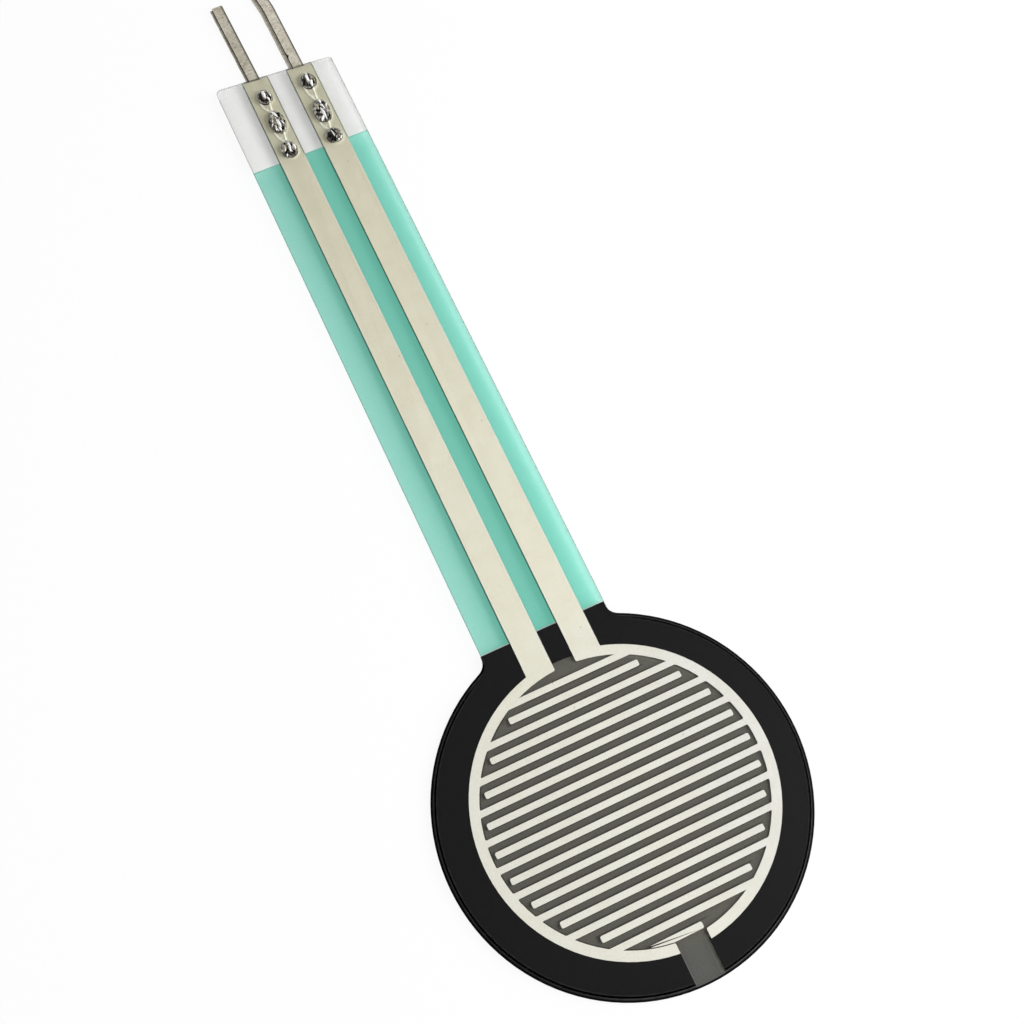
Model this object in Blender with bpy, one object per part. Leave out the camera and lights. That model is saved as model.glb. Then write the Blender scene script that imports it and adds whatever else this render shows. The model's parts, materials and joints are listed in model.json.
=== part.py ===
"""A force sensing resistor: a round laminated sensing pad on a flat tail, with two crimped contacts.

It lies on its rear face, at z = 0, and the middle of the round pad is the origin.
+Y runs along the tail, +X across it, and +Z out of the sensing face. All sizes are in metres.
The pad is a stack, from the rear: adhesive, sensing film, carbon, spacer ring, silver print, front film.
Only the front film, with its print and a coat over the print, runs on as the tail.
"""

import math

import bmesh
import bpy
from mathutils import Matrix

# Round pad
PAD_RADIUS = 0.009144
RIM_STEP = 0.000185
LAND_WIDTH = 0.001804
CARBON_MARGIN = 0.0002
NECK_FILLET = 0.00075
NECK_STRAIGHT = 0.00005

# Tail
TAIL_REACH = 0.04375
TAIL_CORNER = 0.0003
TAIL_MARGIN_LEFT = 0.00158
TAIL_MARGIN_RIGHT = 0.00114

# Layer thicknesses, and the thin line of adhesive or air between two layers
FILM_THICKNESS = 0.000127
ADHESIVE_THICKNESS = 0.00005
SPACER_THICKNESS = 0.00013
CARBON_THICKNESS = 0.000012
SILVER_THICKNESS = 0.000015
COAT_THICKNESS = 0.00003
BOND_LINE = 0.000004
EDGE_CLEARANCE = 0.00003

# Window and vent of the spacer ring
WINDOW_SHIFT = 0.000037
VENT_WIDTH = 0.001527

# Silver print
RING_LAP = 0.000111
RING_WIDTH = 0.0005
RING_SHIFT_X = 0.000148
RING_SHIFT_Y = 0.000028
VENT_RING_GAP = 0.00007
TRACK_PITCH = 0.00254
TRACK_WIDTH = 0.001417
TRACK_SHIFT = 0.000314
TRACK_SETBACK = 0.00003
FINGER_PITCH = 0.000683
FINGER_WIDTH = 0.000322
FINGER_SHIFT = -0.000195
FINGER_END_GAP = 0.00021
FINGER_FIELD_MARGIN = 0.000121
LAST_FINGER_REACH = 0.00189
LAST_FINGER_GAP = 0.00005

# Crimped contacts
SHEET_THICKNESS = 0.00014
LEAF_GAP = 0.00002
BODY_MARGIN = 0.00011
BODY_LAP = 0.0001
CONTACT_SHIFT = 0.00006
TAB_WIDTH = 0.00061
TAB_LENGTH = 0.0053
TAB_SHIFT = -0.00004
TAB_ROOT = 0.0006
TOOTH_WIDTH = 0.0006
TOOTH_TIP_SHARE = 0.35
CURL_INNER_RADIUS = 0.00006
CURL_TIP_GAP = 0.00004
CURL_TIP_ANGLE = -30.0
CURL_LIFT = 0.0001
DOUBLE_ROW_PITCH = 0.00072
COAT_CLEARANCE = 0.00005

# What differs between the two contacts: the rows of teeth, counted from the end of the film,
# how far the lower leaf stands out, how far the tab leans to the left, and its bend near the tip
LEFT_CONTACT = {"rows": (0.0012, 0.00293, 0.0048), "leaf_step": 0.00014, "lean": 1.5, "tip_bend": 0.0}
RIGHT_CONTACT = {"rows": (0.0012, 0.0032, 0.00495), "leaf_step": 0.00022, "lean": 1.0, "tip_bend": 6.0}
TIP_BEND_PLACE = 0.00115

# Drawing
ROUND_STEPS = 96
FILLET_STEPS = 6
CURL_STEPS = 10
CUT_OVERRUN = 0.0002
WELD_DISTANCE = 1e-7
DRAWING_SCALE = 1000.0

# Heights of the layers, from the rear face up
adhesive_top = ADHESIVE_THICKNESS
sensing_low = adhesive_top + BOND_LINE
carbon_low = sensing_low + FILM_THICKNESS + BOND_LINE
spacer_low = carbon_low + CARBON_THICKNESS + BOND_LINE
spacer_top = spacer_low + SPACER_THICKNESS
front_low = spacer_top + BOND_LINE
front_top = front_low + FILM_THICKNESS
silver_low = spacer_top - SILVER_THICKNESS
body_top = silver_low - BOND_LINE
body_low = body_top - SHEET_THICKNESS

# Radii and places that follow from the sizes above
front_radius = PAD_RADIUS - RIM_STEP
window_radius = PAD_RADIUS - LAND_WIDTH
ring_outer = window_radius + RING_LAP
ring_inner = ring_outer - RING_WIDTH
ring_middle = ring_outer - RING_WIDTH / 2
track_centres = (TRACK_SHIFT - TRACK_PITCH / 2, TRACK_SHIFT + TRACK_PITCH / 2)
tail_left = track_centres[0] - TRACK_WIDTH / 2 - TAIL_MARGIN_LEFT
tail_right = track_centres[1] + TRACK_WIDTH / 2 + TAIL_MARGIN_RIGHT
vent_left = WINDOW_SHIFT - VENT_WIDTH / 2
vent_right = WINDOW_SHIFT + VENT_WIDTH / 2
curl_radius = CURL_INNER_RADIUS + SHEET_THICKNESS
tooth_span = 4 * curl_radius + CURL_TIP_GAP


def body_reach(contact):
    """How far a contact's body lies behind the tail, from the end of the film."""
    return max(contact["rows"]) + TOOTH_WIDTH / 2 + BODY_LAP


bare_end = max(body_reach(LEFT_CONTACT), body_reach(RIGHT_CONTACT)) + COAT_CLEARANCE


def fillet_height(radius, edge):
    """Where the fillet between a disc and a tail edge, at x = edge, meets the edge."""
    return math.sqrt((radius + NECK_FILLET) ** 2 - (abs(edge) + NECK_FILLET) ** 2)


neck_end = max(fillet_height(PAD_RADIUS, tail_left), fillet_height(PAD_RADIUS, tail_right)) + NECK_STRAIGHT


planned_booleans = []


def make_collection(name, parent):
    made = bpy.data.collections.new(name)
    parent.children.link(made)
    return made


def clear_scene():
    for obj in list(bpy.data.objects):
        bpy.data.objects.remove(obj, do_unlink=True)


def add_object(name, mesh, collection):
    obj = bpy.data.objects.new(name, mesh)
    collection.objects.link(obj)
    return obj


def block(name, xs, ys, zs, collection):
    """A rectangular solid between two corners, with its origin at its middle."""
    mesh = bpy.data.meshes.new(name)
    shape = bmesh.new()
    sides = (xs[1] - xs[0], ys[1] - ys[0], zs[1] - zs[0])
    bmesh.ops.create_cube(shape, size=1.0, matrix=Matrix.Diagonal((*sides, 1.0)))
    shape.to_mesh(mesh)
    shape.free()
    obj = add_object(name, mesh, collection)
    obj.location = (sum(xs) / 2, sum(ys) / 2, sum(zs) / 2)
    return obj


def disc(name, centre, radius, zs, collection):
    """An upright cylinder of low height, with its origin at its middle."""
    mesh = bpy.data.meshes.new(name)
    shape = bmesh.new()
    bmesh.ops.create_cone(
        shape, cap_ends=True, segments=ROUND_STEPS, radius1=radius, radius2=radius, depth=zs[1] - zs[0]
    )
    shape.to_mesh(mesh)
    shape.free()
    obj = add_object(name, mesh, collection)
    obj.location = (centre[0], centre[1], sum(zs) / 2)
    return obj


def arc(centre, radius, start, end, steps):
    """Points of an arc, with both ends, from one angle to another in degrees."""
    turns = [math.radians(start + (end - start) * i / steps) for i in range(steps + 1)]
    return [(centre[0] + radius * math.cos(t), centre[1] + radius * math.sin(t)) for t in turns]


def new_curve(name, dimensions):
    curve = bpy.data.curves.new(name, "CURVE")
    curve.dimensions = dimensions
    return curve


def add_poly(curve, points, closed):
    """A straight-sided spline, drawn large so that small outlines are filled accurately."""
    spline = curve.splines.new("POLY")
    spline.points.add(len(points) - 1)
    for point, place in zip(spline.points, points):
        x, y, z = (*place, 0.0)[:3]
        point.co = (x * DRAWING_SCALE, y * DRAWING_SCALE, z * DRAWING_SCALE, 1.0)
    spline.use_cyclic_u = closed


def curve_to_mesh(curve, name, placing, collection):
    """The curve as a mesh object at its real size, with its loose caps welded on."""
    drawn = bpy.data.objects.new(name + "_outline", curve)
    bpy.context.scene.collection.objects.link(drawn)
    drawn.matrix_world = placing @ Matrix.Scale(1.0 / DRAWING_SCALE, 4)
    bpy.context.view_layer.update()
    seen = drawn.evaluated_get(bpy.context.evaluated_depsgraph_get())
    mesh = bpy.data.meshes.new_from_object(seen)
    mesh.name = name
    mesh.transform(drawn.matrix_world)
    bpy.data.objects.remove(drawn, do_unlink=True)
    bpy.data.curves.remove(curve)
    shape = bmesh.new()
    shape.from_mesh(mesh)
    bmesh.ops.remove_doubles(shape, verts=shape.verts, dist=WELD_DISTANCE)
    bmesh.ops.recalc_face_normals(shape, faces=shape.faces)
    shape.to_mesh(mesh)
    shape.free()
    return add_object(name, mesh, collection)


def plate(name, outline, zs, collection, placing=None):
    """A flat solid with the given outline, extruded between two heights."""
    curve = new_curve(name, "2D")
    curve.fill_mode = "BOTH"
    curve.extrude = (zs[1] - zs[0]) / 2 * DRAWING_SCALE
    add_poly(curve, outline, closed=True)
    rise = Matrix.Translation((0.0, 0.0, sum(zs) / 2))
    return curve_to_mesh(curve, name, (placing or Matrix.Identity(4)) @ rise, collection)


def plan_boolean(obj, operation, operand):
    """Notes a Boolean for an object, to be added once every shape is there."""
    planned_booleans.append((obj, operation, operand))


def add_booleans():
    """Adds the planned Booleans, live, each with one object or with every object of a collection."""
    for obj, operation, operand in planned_booleans:
        change = obj.modifiers.new(operation.lower() + "_" + operand.name, "BOOLEAN")
        change.operation = operation
        change.solver = "EXACT"
        if isinstance(operand, bpy.types.Collection):
            change.operand_type = "COLLECTION"
            change.collection = operand
        else:
            change.object = operand


def make_helper(obj):
    """Keeps an object that only cuts, or is joined into another, out of the result."""
    obj.hide_render = True
    obj.display_type = "WIRE"
    return obj


def make_material(name, colour, roughness, metallic=0.0, alpha=1.0):
    made = bpy.data.materials.new(name)
    made.use_nodes = True
    shader = made.node_tree.nodes["Principled BSDF"]
    shader.inputs["Base Color"].default_value = (*colour, 1.0)
    shader.inputs["Roughness"].default_value = roughness
    shader.inputs["Metallic"].default_value = metallic
    shader.inputs["Alpha"].default_value = alpha
    return made


def finish(obj, material):
    """Gives an object its material and smooth round walls."""
    obj.data.materials.clear()
    obj.data.materials.append(material)
    obj.data.shade_smooth()
    obj.data.set_sharp_from_angle(angle=math.radians(30.0))
    return obj


def pad_outline(radius, end, corner):
    """Round pad with filleted neck and a straight tail that stops at y = end."""
    left_hollow = (tail_left - NECK_FILLET, fillet_height(radius, tail_left))
    right_hollow = (tail_right + NECK_FILLET, fillet_height(radius, tail_right))
    left_turn = math.degrees(math.atan2(left_hollow[1], left_hollow[0]))
    right_turn = math.degrees(math.atan2(right_hollow[1], right_hollow[0]))
    points = arc((0.0, 0.0), radius, left_turn, 360.0 + right_turn, ROUND_STEPS)
    points += arc(right_hollow, NECK_FILLET, 180.0 + right_turn, 180.0, FILLET_STEPS)[1:]
    if corner:
        points += arc((tail_right - corner, end - corner), corner, 0.0, 90.0, FILLET_STEPS)
        points += arc((tail_left + corner, end - corner), corner, 90.0, 180.0, FILLET_STEPS)
    else:
        points += [(tail_right, end), (tail_left, end)]
    points += arc(left_hollow, NECK_FILLET, 0.0, left_turn - 180.0, FILLET_STEPS)[:-1]
    return points


def track_block(name, side, growth, ys, zs, collection):
    """A straight bar along one track, wider than it by growth on each side."""
    middle = track_centres[side]
    reach = TRACK_WIDTH / 2 + growth
    return block(name, (middle - reach, middle + reach), ys, zs, collection)


def make_slits(cutters):
    """Cutters for the slits that the teeth pierce through print and film."""
    slits = make_collection("tooth_slits", cutters)
    for side, contact in enumerate((LEFT_CONTACT, RIGHT_CONTACT)):
        middle = track_centres[side] + CONTACT_SHIFT
        for number, y in enumerate(tooth_places(contact)):
            for sign in (-1, 1):
                outer = middle + sign * (tooth_span / 2 + EDGE_CLEARANCE)
                inner = middle + sign * (tooth_span / 2 - SHEET_THICKNESS - EDGE_CLEARANCE)
                reach = TOOTH_WIDTH / 2 + EDGE_CLEARANCE
                xs = (min(outer, inner), max(outer, inner))
                zs = (silver_low - CUT_OVERRUN, front_top + CUT_OVERRUN)
                name = f"slit_{side}_{number}_{'left' if sign < 0 else 'right'}"
                make_helper(block(name, xs, (y - reach, y + reach), zs, slits))
    return slits


def tooth_places(contact):
    """The y of each pair of teeth: one pair, then a double row, then one pair."""
    first, second, third = (TAIL_REACH - row for row in contact["rows"])
    return (first, second + DOUBLE_ROW_PITCH / 2, second - DOUBLE_ROW_PITCH / 2, third)


def make_front_film(parts, slits, material):
    outline = pad_outline(front_radius, TAIL_REACH, TAIL_CORNER)
    film = plate("front_film", outline, (front_low, front_top), parts)
    plan_boolean(film, "DIFFERENCE", slits)
    return finish(film, material)


def finger_count():
    """As many fingers as the ring holds at their pitch, in pairs of one joined and one free."""
    return 2 * round(ring_inner / FINGER_PITCH)


def finger_middle(index):
    """The y of the middle of a finger, counted from the tail's side. They fill the ring evenly."""
    spread = 2 * (ring_inner - FINGER_FIELD_MARGIN) / finger_count()
    return RING_SHIFT_Y + FINGER_SHIFT + ((finger_count() - 1) / 2 - index) * spread


def free_finger_name(index):
    """Free fingers are numbered from both ends of the ring, towards its middle."""
    order = (index + 1) // 2
    free = finger_count() // 2
    if order <= (free + 1) // 2:
        return f"tail_side_finger_{order:02}"
    return f"vent_side_finger_{free + 1 - order:02}"


def make_silver_tracks(parts, cutters, slits, material):
    """Ring, both tracks and every second finger, printed as one."""
    zs = (silver_low, silver_low + SILVER_THICKNESS)
    past = (zs[0] - CUT_OVERRUN, zs[1] + CUT_OVERRUN)
    ring_centre = (RING_SHIFT_X, RING_SHIFT_Y)
    silver = disc("silver_tracks", ring_centre, ring_outer, zs, parts)
    tracks = make_collection("printed_tracks", cutters)
    for side in (0, 1):
        ys = (RING_SHIFT_Y, TAIL_REACH - TRACK_SETBACK)
        make_helper(track_block(f"printed_track_{side}", side, 0.0, ys, zs, tracks))
    plan_boolean(silver, "UNION", tracks)
    openings = make_collection("ring_openings", cutters)
    make_helper(disc("ring_inside", ring_centre, ring_inner, past, openings))
    between = (track_centres[0] + TRACK_WIDTH / 2, track_centres[1] - TRACK_WIDTH / 2)
    above = (RING_SHIFT_Y + ring_inner / 2, RING_SHIFT_Y + ring_outer + CUT_OVERRUN)
    make_helper(block("opening_between_tracks", between, above, past, openings))
    below = (RING_SHIFT_Y - ring_outer - CUT_OVERRUN, RING_SHIFT_Y - ring_inner / 2)
    make_helper(block("opening_at_vent", (vent_left, vent_right + VENT_RING_GAP), below, past, openings))
    plan_boolean(silver, "DIFFERENCE", openings)
    fingers = make_collection("joined_fingers", cutters)
    for index in range(0, finger_count(), 2):
        y = finger_middle(index)
        reach = math.sqrt(ring_middle**2 - (y - RING_SHIFT_Y) ** 2)
        xs = (RING_SHIFT_X - reach, RING_SHIFT_X + reach)
        ys = (y - FINGER_WIDTH / 2, y + FINGER_WIDTH / 2)
        make_helper(block(f"joined_finger_{index // 2 + 1:02}", xs, ys, zs, fingers))
    plan_boolean(silver, "UNION", fingers)
    plan_boolean(silver, "DIFFERENCE", slits)
    return finish(silver, material)


def make_free_fingers(parts, cutters, material):
    """The fingers between, which stop short of the ring at both ends. The last follows the ring."""
    zs = (silver_low, silver_low + SILVER_THICKNESS)
    past = (zs[0] - CUT_OVERRUN, zs[1] + CUT_OVERRUN)
    made = []
    for index in range(1, finger_count(), 2):
        y = finger_middle(index)
        ys = (y - FINGER_WIDTH / 2, y + FINGER_WIDTH / 2)
        edge = max(abs(ys[0] - RING_SHIFT_Y), abs(ys[1] - RING_SHIFT_Y))
        name = free_finger_name(index)
        if index < finger_count() - 1:
            reach = math.sqrt((ring_inner - FINGER_END_GAP) ** 2 - edge**2)
            finger = block(name, (RING_SHIFT_X - reach, RING_SHIFT_X + reach), ys, zs, parts)
        else:
            finger = block(name, (-LAST_FINGER_REACH, vent_right), ys, zs, parts)
            limit = ring_inner - LAST_FINGER_GAP
            inside = disc("last_finger_limit", (RING_SHIFT_X, RING_SHIFT_Y), limit, past, cutters)
            plan_boolean(finger, "INTERSECT", make_helper(inside))
        made.append(finish(finger, material))
    return made


def make_tail_coat(parts, cutters, material):
    """Coat over the print, on the rear of the tail, with a groove where each track lies."""
    top = front_low - BOND_LINE
    ys = (neck_end + EDGE_CLEARANCE, TAIL_REACH - bare_end)
    coat = block("tail_coat", (tail_left, tail_right), ys, (top - COAT_THICKNESS, top), parts)
    grooves = make_collection("coat_grooves", cutters)
    long = (ys[0] - CUT_OVERRUN, ys[1] + CUT_OVERRUN)
    for side in (0, 1):
        zs = (silver_low - BOND_LINE, top + CUT_OVERRUN)
        make_helper(track_block(f"coat_groove_{side}", side, EDGE_CLEARANCE, long, zs, grooves))
    plan_boolean(coat, "DIFFERENCE", grooves)
    return finish(coat, material)


def make_spacer(parts, cutters, material):
    """Adhesive ring that keeps the films apart, with its window, its vent and room for the print."""
    spacer = plate("spacer_ring", pad_outline(front_radius, neck_end, 0.0), (spacer_low, spacer_top), parts)
    openings = make_collection("spacer_openings", cutters)
    through = (spacer_low - CUT_OVERRUN, spacer_top + CUT_OVERRUN)
    make_helper(disc("window", (WINDOW_SHIFT, 0.0), window_radius, through, openings))
    vent_ys = (-PAD_RADIUS - CUT_OVERRUN, -window_radius / 2)
    make_helper(block("vent", (vent_left, vent_right), vent_ys, through, openings))
    plan_boolean(spacer, "DIFFERENCE", openings)
    print_room = make_collection("print_room", cutters)
    zs = (silver_low - BOND_LINE, spacer_top + CUT_OVERRUN)
    ring_room = disc("ring_room", (RING_SHIFT_X, RING_SHIFT_Y), ring_outer + EDGE_CLEARANCE, zs, print_room)
    make_helper(ring_room)
    for side in (0, 1):
        ys = (RING_SHIFT_Y, neck_end + CUT_OVERRUN)
        make_helper(track_block(f"track_room_{side}", side, EDGE_CLEARANCE, ys, zs, print_room))
    plan_boolean(spacer, "DIFFERENCE", print_room)
    return finish(spacer, material)


def make_rear_layers(parts, materials):
    """Carbon print, sensing film and rear adhesive, which end at the neck."""
    carbon_zs = (carbon_low, carbon_low + CARBON_THICKNESS)
    carbon = disc("carbon_pad", (0.0, 0.0), PAD_RADIUS - CARBON_MARGIN, carbon_zs, parts)
    finish(carbon, materials["carbon"])
    outline = pad_outline(PAD_RADIUS, neck_end, 0.0)
    sensing = plate("sensing_film", outline, (sensing_low, sensing_low + FILM_THICKNESS), parts)
    finish(sensing, materials["sensing"])
    adhesive = plate("rear_adhesive", outline, (0.0, adhesive_top), parts)
    finish(adhesive, materials["adhesive"])
    return carbon, sensing, adhesive


def tooth_profile(sign):
    """A tooth seen from the end of the tail: a straight leg that curls over towards the middle."""
    centre = (curl_radius - tooth_span / 2, front_top + CURL_LIFT)
    root = body_top - SHEET_THICKNESS / 2
    points = [(-tooth_span / 2, root)]
    points += arc(centre, curl_radius, 180.0, CURL_TIP_ANGLE, CURL_STEPS)
    points += arc(centre, CURL_INNER_RADIUS, CURL_TIP_ANGLE, 180.0, CURL_STEPS)
    points.append((SHEET_THICKNESS - tooth_span / 2, root))
    return [(-sign * x, z) for x, z in points]


def taper_tooth(tooth, middle, y):
    """Narrows a tooth evenly round its curl, from its full width to its tip."""
    for vertex in tooth.data.vertices:
        inward = tooth_span / 2 - curl_radius - abs(vertex.co.x - middle)
        upward = vertex.co.z - front_top - CURL_LIFT
        on_leg = inward < 0.0 and upward < 0.0
        angle = 180.0 if on_leg else math.degrees(math.atan2(upward, inward))
        share = (180.0 - angle) / (180.0 - CURL_TIP_ANGLE)
        vertex.co.y = y + (vertex.co.y - y) * (1.0 - share * (1.0 - TOOTH_TIP_SHARE))
    return tooth


def fold_profile(leaf_step):
    """The tab across its width: an upper leaf folded over, on the right, onto a wider lower leaf."""
    turn = SHEET_THICKNESS + LEAF_GAP / 2
    centre = (TAB_WIDTH / 2 - turn, -turn)
    left = -TAB_WIDTH / 2
    points = [(left, 0.0)]
    points += arc(centre, turn, 90.0, -90.0, CURL_STEPS)
    points += [(left - leaf_step, -2 * turn), (left - leaf_step, -SHEET_THICKNESS - LEAF_GAP)]
    points += arc(centre, LEAF_GAP / 2, -90.0, 90.0, CURL_STEPS // 2)
    points.append((left, -SHEET_THICKNESS))
    return points


def make_tab(name, contact, middle, collection):
    """The folded solder tab, swept along its line from under the film to its tip."""
    profile = new_curve(name + "_section", "2D")
    profile.fill_mode = "NONE"
    add_poly(profile, fold_profile(contact["leaf_step"]), closed=True)
    section = bpy.data.objects.new(name + "_section", profile)
    bpy.context.scene.collection.objects.link(section)
    lean = math.radians(contact["lean"])
    bend = lean + math.radians(contact["tip_bend"])
    root = TAIL_REACH - TAB_ROOT
    straight = TAB_ROOT + TAB_LENGTH - TIP_BEND_PLACE
    turn = (middle - straight * math.sin(lean), root + straight * math.cos(lean))
    line = [(middle, root), turn]
    line.append((turn[0] - TIP_BEND_PLACE * math.sin(bend), turn[1] + TIP_BEND_PLACE * math.cos(bend)))
    path = new_curve(name, "3D")
    path.twist_mode = "Z_UP"
    path.bevel_mode = "OBJECT"
    path.bevel_object = section
    path.use_fill_caps = True
    add_poly(path, line, closed=False)
    tab = curve_to_mesh(path, name, Matrix.Translation((0.0, 0.0, body_top)), collection)
    bpy.data.objects.remove(section, do_unlink=True)
    return tab


def make_contact(name, side, contact, parts, cutters, material):
    """Flat body behind the print, folded tab, and teeth that pierce the film and curl over in front."""
    middle = track_centres[side] + CONTACT_SHIFT
    half = TRACK_WIDTH / 2 - BODY_MARGIN
    ys = (TAIL_REACH - body_reach(contact), TAIL_REACH - TAB_ROOT / 2)
    body = block(name, (middle - half, middle + half), ys, (body_low, body_top), parts)
    pieces = make_collection(name + "_pieces", cutters)
    make_helper(make_tab(name + "_tab", contact, middle + TAB_SHIFT, pieces))
    upright = Matrix.Rotation(math.radians(90.0), 4, "X")
    for number, y in enumerate(tooth_places(contact)):
        for sign in (-1, 1):
            placing = Matrix.Translation((middle, y, 0.0)) @ upright
            zs = (-TOOTH_WIDTH / 2, TOOTH_WIDTH / 2)
            tooth_name = f"{name}_tooth_{number}_{'left' if sign < 0 else 'right'}"
            tooth = plate(tooth_name, tooth_profile(sign), zs, pieces, placing)
            make_helper(taper_tooth(tooth, middle, y))
    plan_boolean(body, "UNION", pieces)
    return finish(body, material)


def main():
    clear_scene()
    parts = make_collection("force_sensing_resistor", bpy.context.scene.collection)
    cutters = make_collection("cutters", bpy.context.scene.collection)
    clear_film = make_material("clear_film", (0.88, 0.89, 0.9), 0.15, alpha=0.3)
    silver_print = make_material("silver_print", (0.75, 0.71, 0.6), 0.45)
    coat = make_material("mint_coat", (0.3, 0.7, 0.58), 0.4)
    spacer = make_material("black_spacer", (0.013, 0.013, 0.014), 0.5)
    contact = make_material("tinned_contact", (0.55, 0.53, 0.48), 0.35, metallic=1.0)
    rear = {
        "carbon": make_material("carbon_print", (0.1, 0.1, 0.095), 0.7),
        "sensing": make_material("dark_film", (0.03, 0.03, 0.03), 0.35),
        "adhesive": make_material("rear_adhesive", (0.6, 0.58, 0.5), 0.5),
    }
    slits = make_slits(cutters)
    make_front_film(parts, slits, clear_film)
    make_silver_tracks(parts, cutters, slits, silver_print)
    make_free_fingers(parts, cutters, silver_print)
    make_tail_coat(parts, cutters, coat)
    make_spacer(parts, cutters, spacer)
    make_rear_layers(parts, rear)
    make_contact("left_contact", 0, LEFT_CONTACT, parts, cutters, contact)
    make_contact("right_contact", 1, RIGHT_CONTACT, parts, cutters, contact)
    add_booleans()


main()
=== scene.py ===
# %% [markdown]
# # A force sensing resistor on a pale table
#
# The part is a laminate of thin films: a round pad that feels pressure, and a flat tail that carries two
# printed tracks to two crimped metal contacts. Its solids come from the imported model, in metres, lying on
# z = 0 with the middle of the pad at the origin and the tail along +Y. This script only gives them their
# looks.

# %% Load the model
import collections
import json
import math
import random

import bmesh
import bpy
from mathutils import Euler, Matrix, Vector, noise


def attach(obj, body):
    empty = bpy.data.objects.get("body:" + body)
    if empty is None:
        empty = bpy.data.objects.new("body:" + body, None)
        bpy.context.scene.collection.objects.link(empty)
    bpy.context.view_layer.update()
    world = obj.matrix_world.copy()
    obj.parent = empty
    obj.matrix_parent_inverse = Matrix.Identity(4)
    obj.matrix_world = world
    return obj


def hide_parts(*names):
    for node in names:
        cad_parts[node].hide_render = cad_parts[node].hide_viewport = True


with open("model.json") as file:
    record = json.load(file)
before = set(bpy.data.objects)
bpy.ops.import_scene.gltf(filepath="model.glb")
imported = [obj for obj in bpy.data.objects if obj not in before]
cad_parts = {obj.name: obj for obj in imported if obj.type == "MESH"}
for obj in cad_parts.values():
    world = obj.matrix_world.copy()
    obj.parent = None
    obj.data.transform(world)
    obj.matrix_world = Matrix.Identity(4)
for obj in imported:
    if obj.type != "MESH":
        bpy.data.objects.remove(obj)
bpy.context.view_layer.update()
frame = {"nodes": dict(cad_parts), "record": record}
MM = 0.001
print("nodes:", len(frame["nodes"]))

# %% [markdown]
# ## Camera
#
# The object is only 58 mm long and half a millimetre thick, so the camera is close and its near clipping
# is small. It could be placed by three coordinates and three angles, but a picture is easier to reason
# about as an orbit: a point on the part to look at, a distance, an azimuth, an elevation, and a roll that
# turns the frame about the line of sight.

# %% Camera
LENS = 51.79
TARGET = Vector((1.274, 15.134, 0.462)) * MM
DISTANCE = 73.925 * MM
AZIMUTH = -30.67
ELEVATION = 71.99
ROLL = 5.77
NEAR_CLIP = 1.0 * MM


def new_object(name, data):
    """An object for a camera, a lamp or a mesh, linked to the scene."""
    made = bpy.data.objects.new(name, data)
    bpy.context.scene.collection.objects.link(made)
    return made


orbit = Euler((math.radians(90.0 - ELEVATION), 0.0, math.radians(AZIMUTH))).to_matrix().to_4x4()
roll = Matrix.Rotation(math.radians(ROLL), 4, "Z")
camera = new_object("camera", bpy.data.cameras.new("camera"))
camera.data.lens = LENS
camera.data.clip_start = NEAR_CLIP
camera.matrix_world = Matrix.Translation(TARGET) @ orbit @ roll @ Matrix.Translation((0.0, 0.0, DISTANCE))
bpy.context.scene.camera = camera
print("camera at", [round(c / MM, 2) for c in camera.matrix_world.translation], "mm")

# %% [markdown]
# ## Values that change over a surface
#
# All the finishes are built from nodes, in the part's own millimetres. Nodes could be made and linked one
# by one, but then a recipe is long and its sense is lost. So a Field stands for a value that changes over
# a surface, and a sum or a product with it becomes a Math node. Its other methods add a soft step, a
# band, a patch of grain or a bump.

# %% Fields
WHITE = (1.0, 1.0, 1.0, 1.0)
LINE_SOFTNESS = 0.012
NOISE_LOW, NOISE_HIGH = 0.3, 0.7


def srgb(red, green, blue):
    """A colour from 0 to 255 as pictures show it, in the linear values that Blender's sockets take."""
    levels = [c / 255.0 for c in (red, green, blue)]
    return (*[c / 12.92 if c <= 0.04045 else ((c + 0.055) / 1.055) ** 2.4 for c in levels], 1.0)


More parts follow.
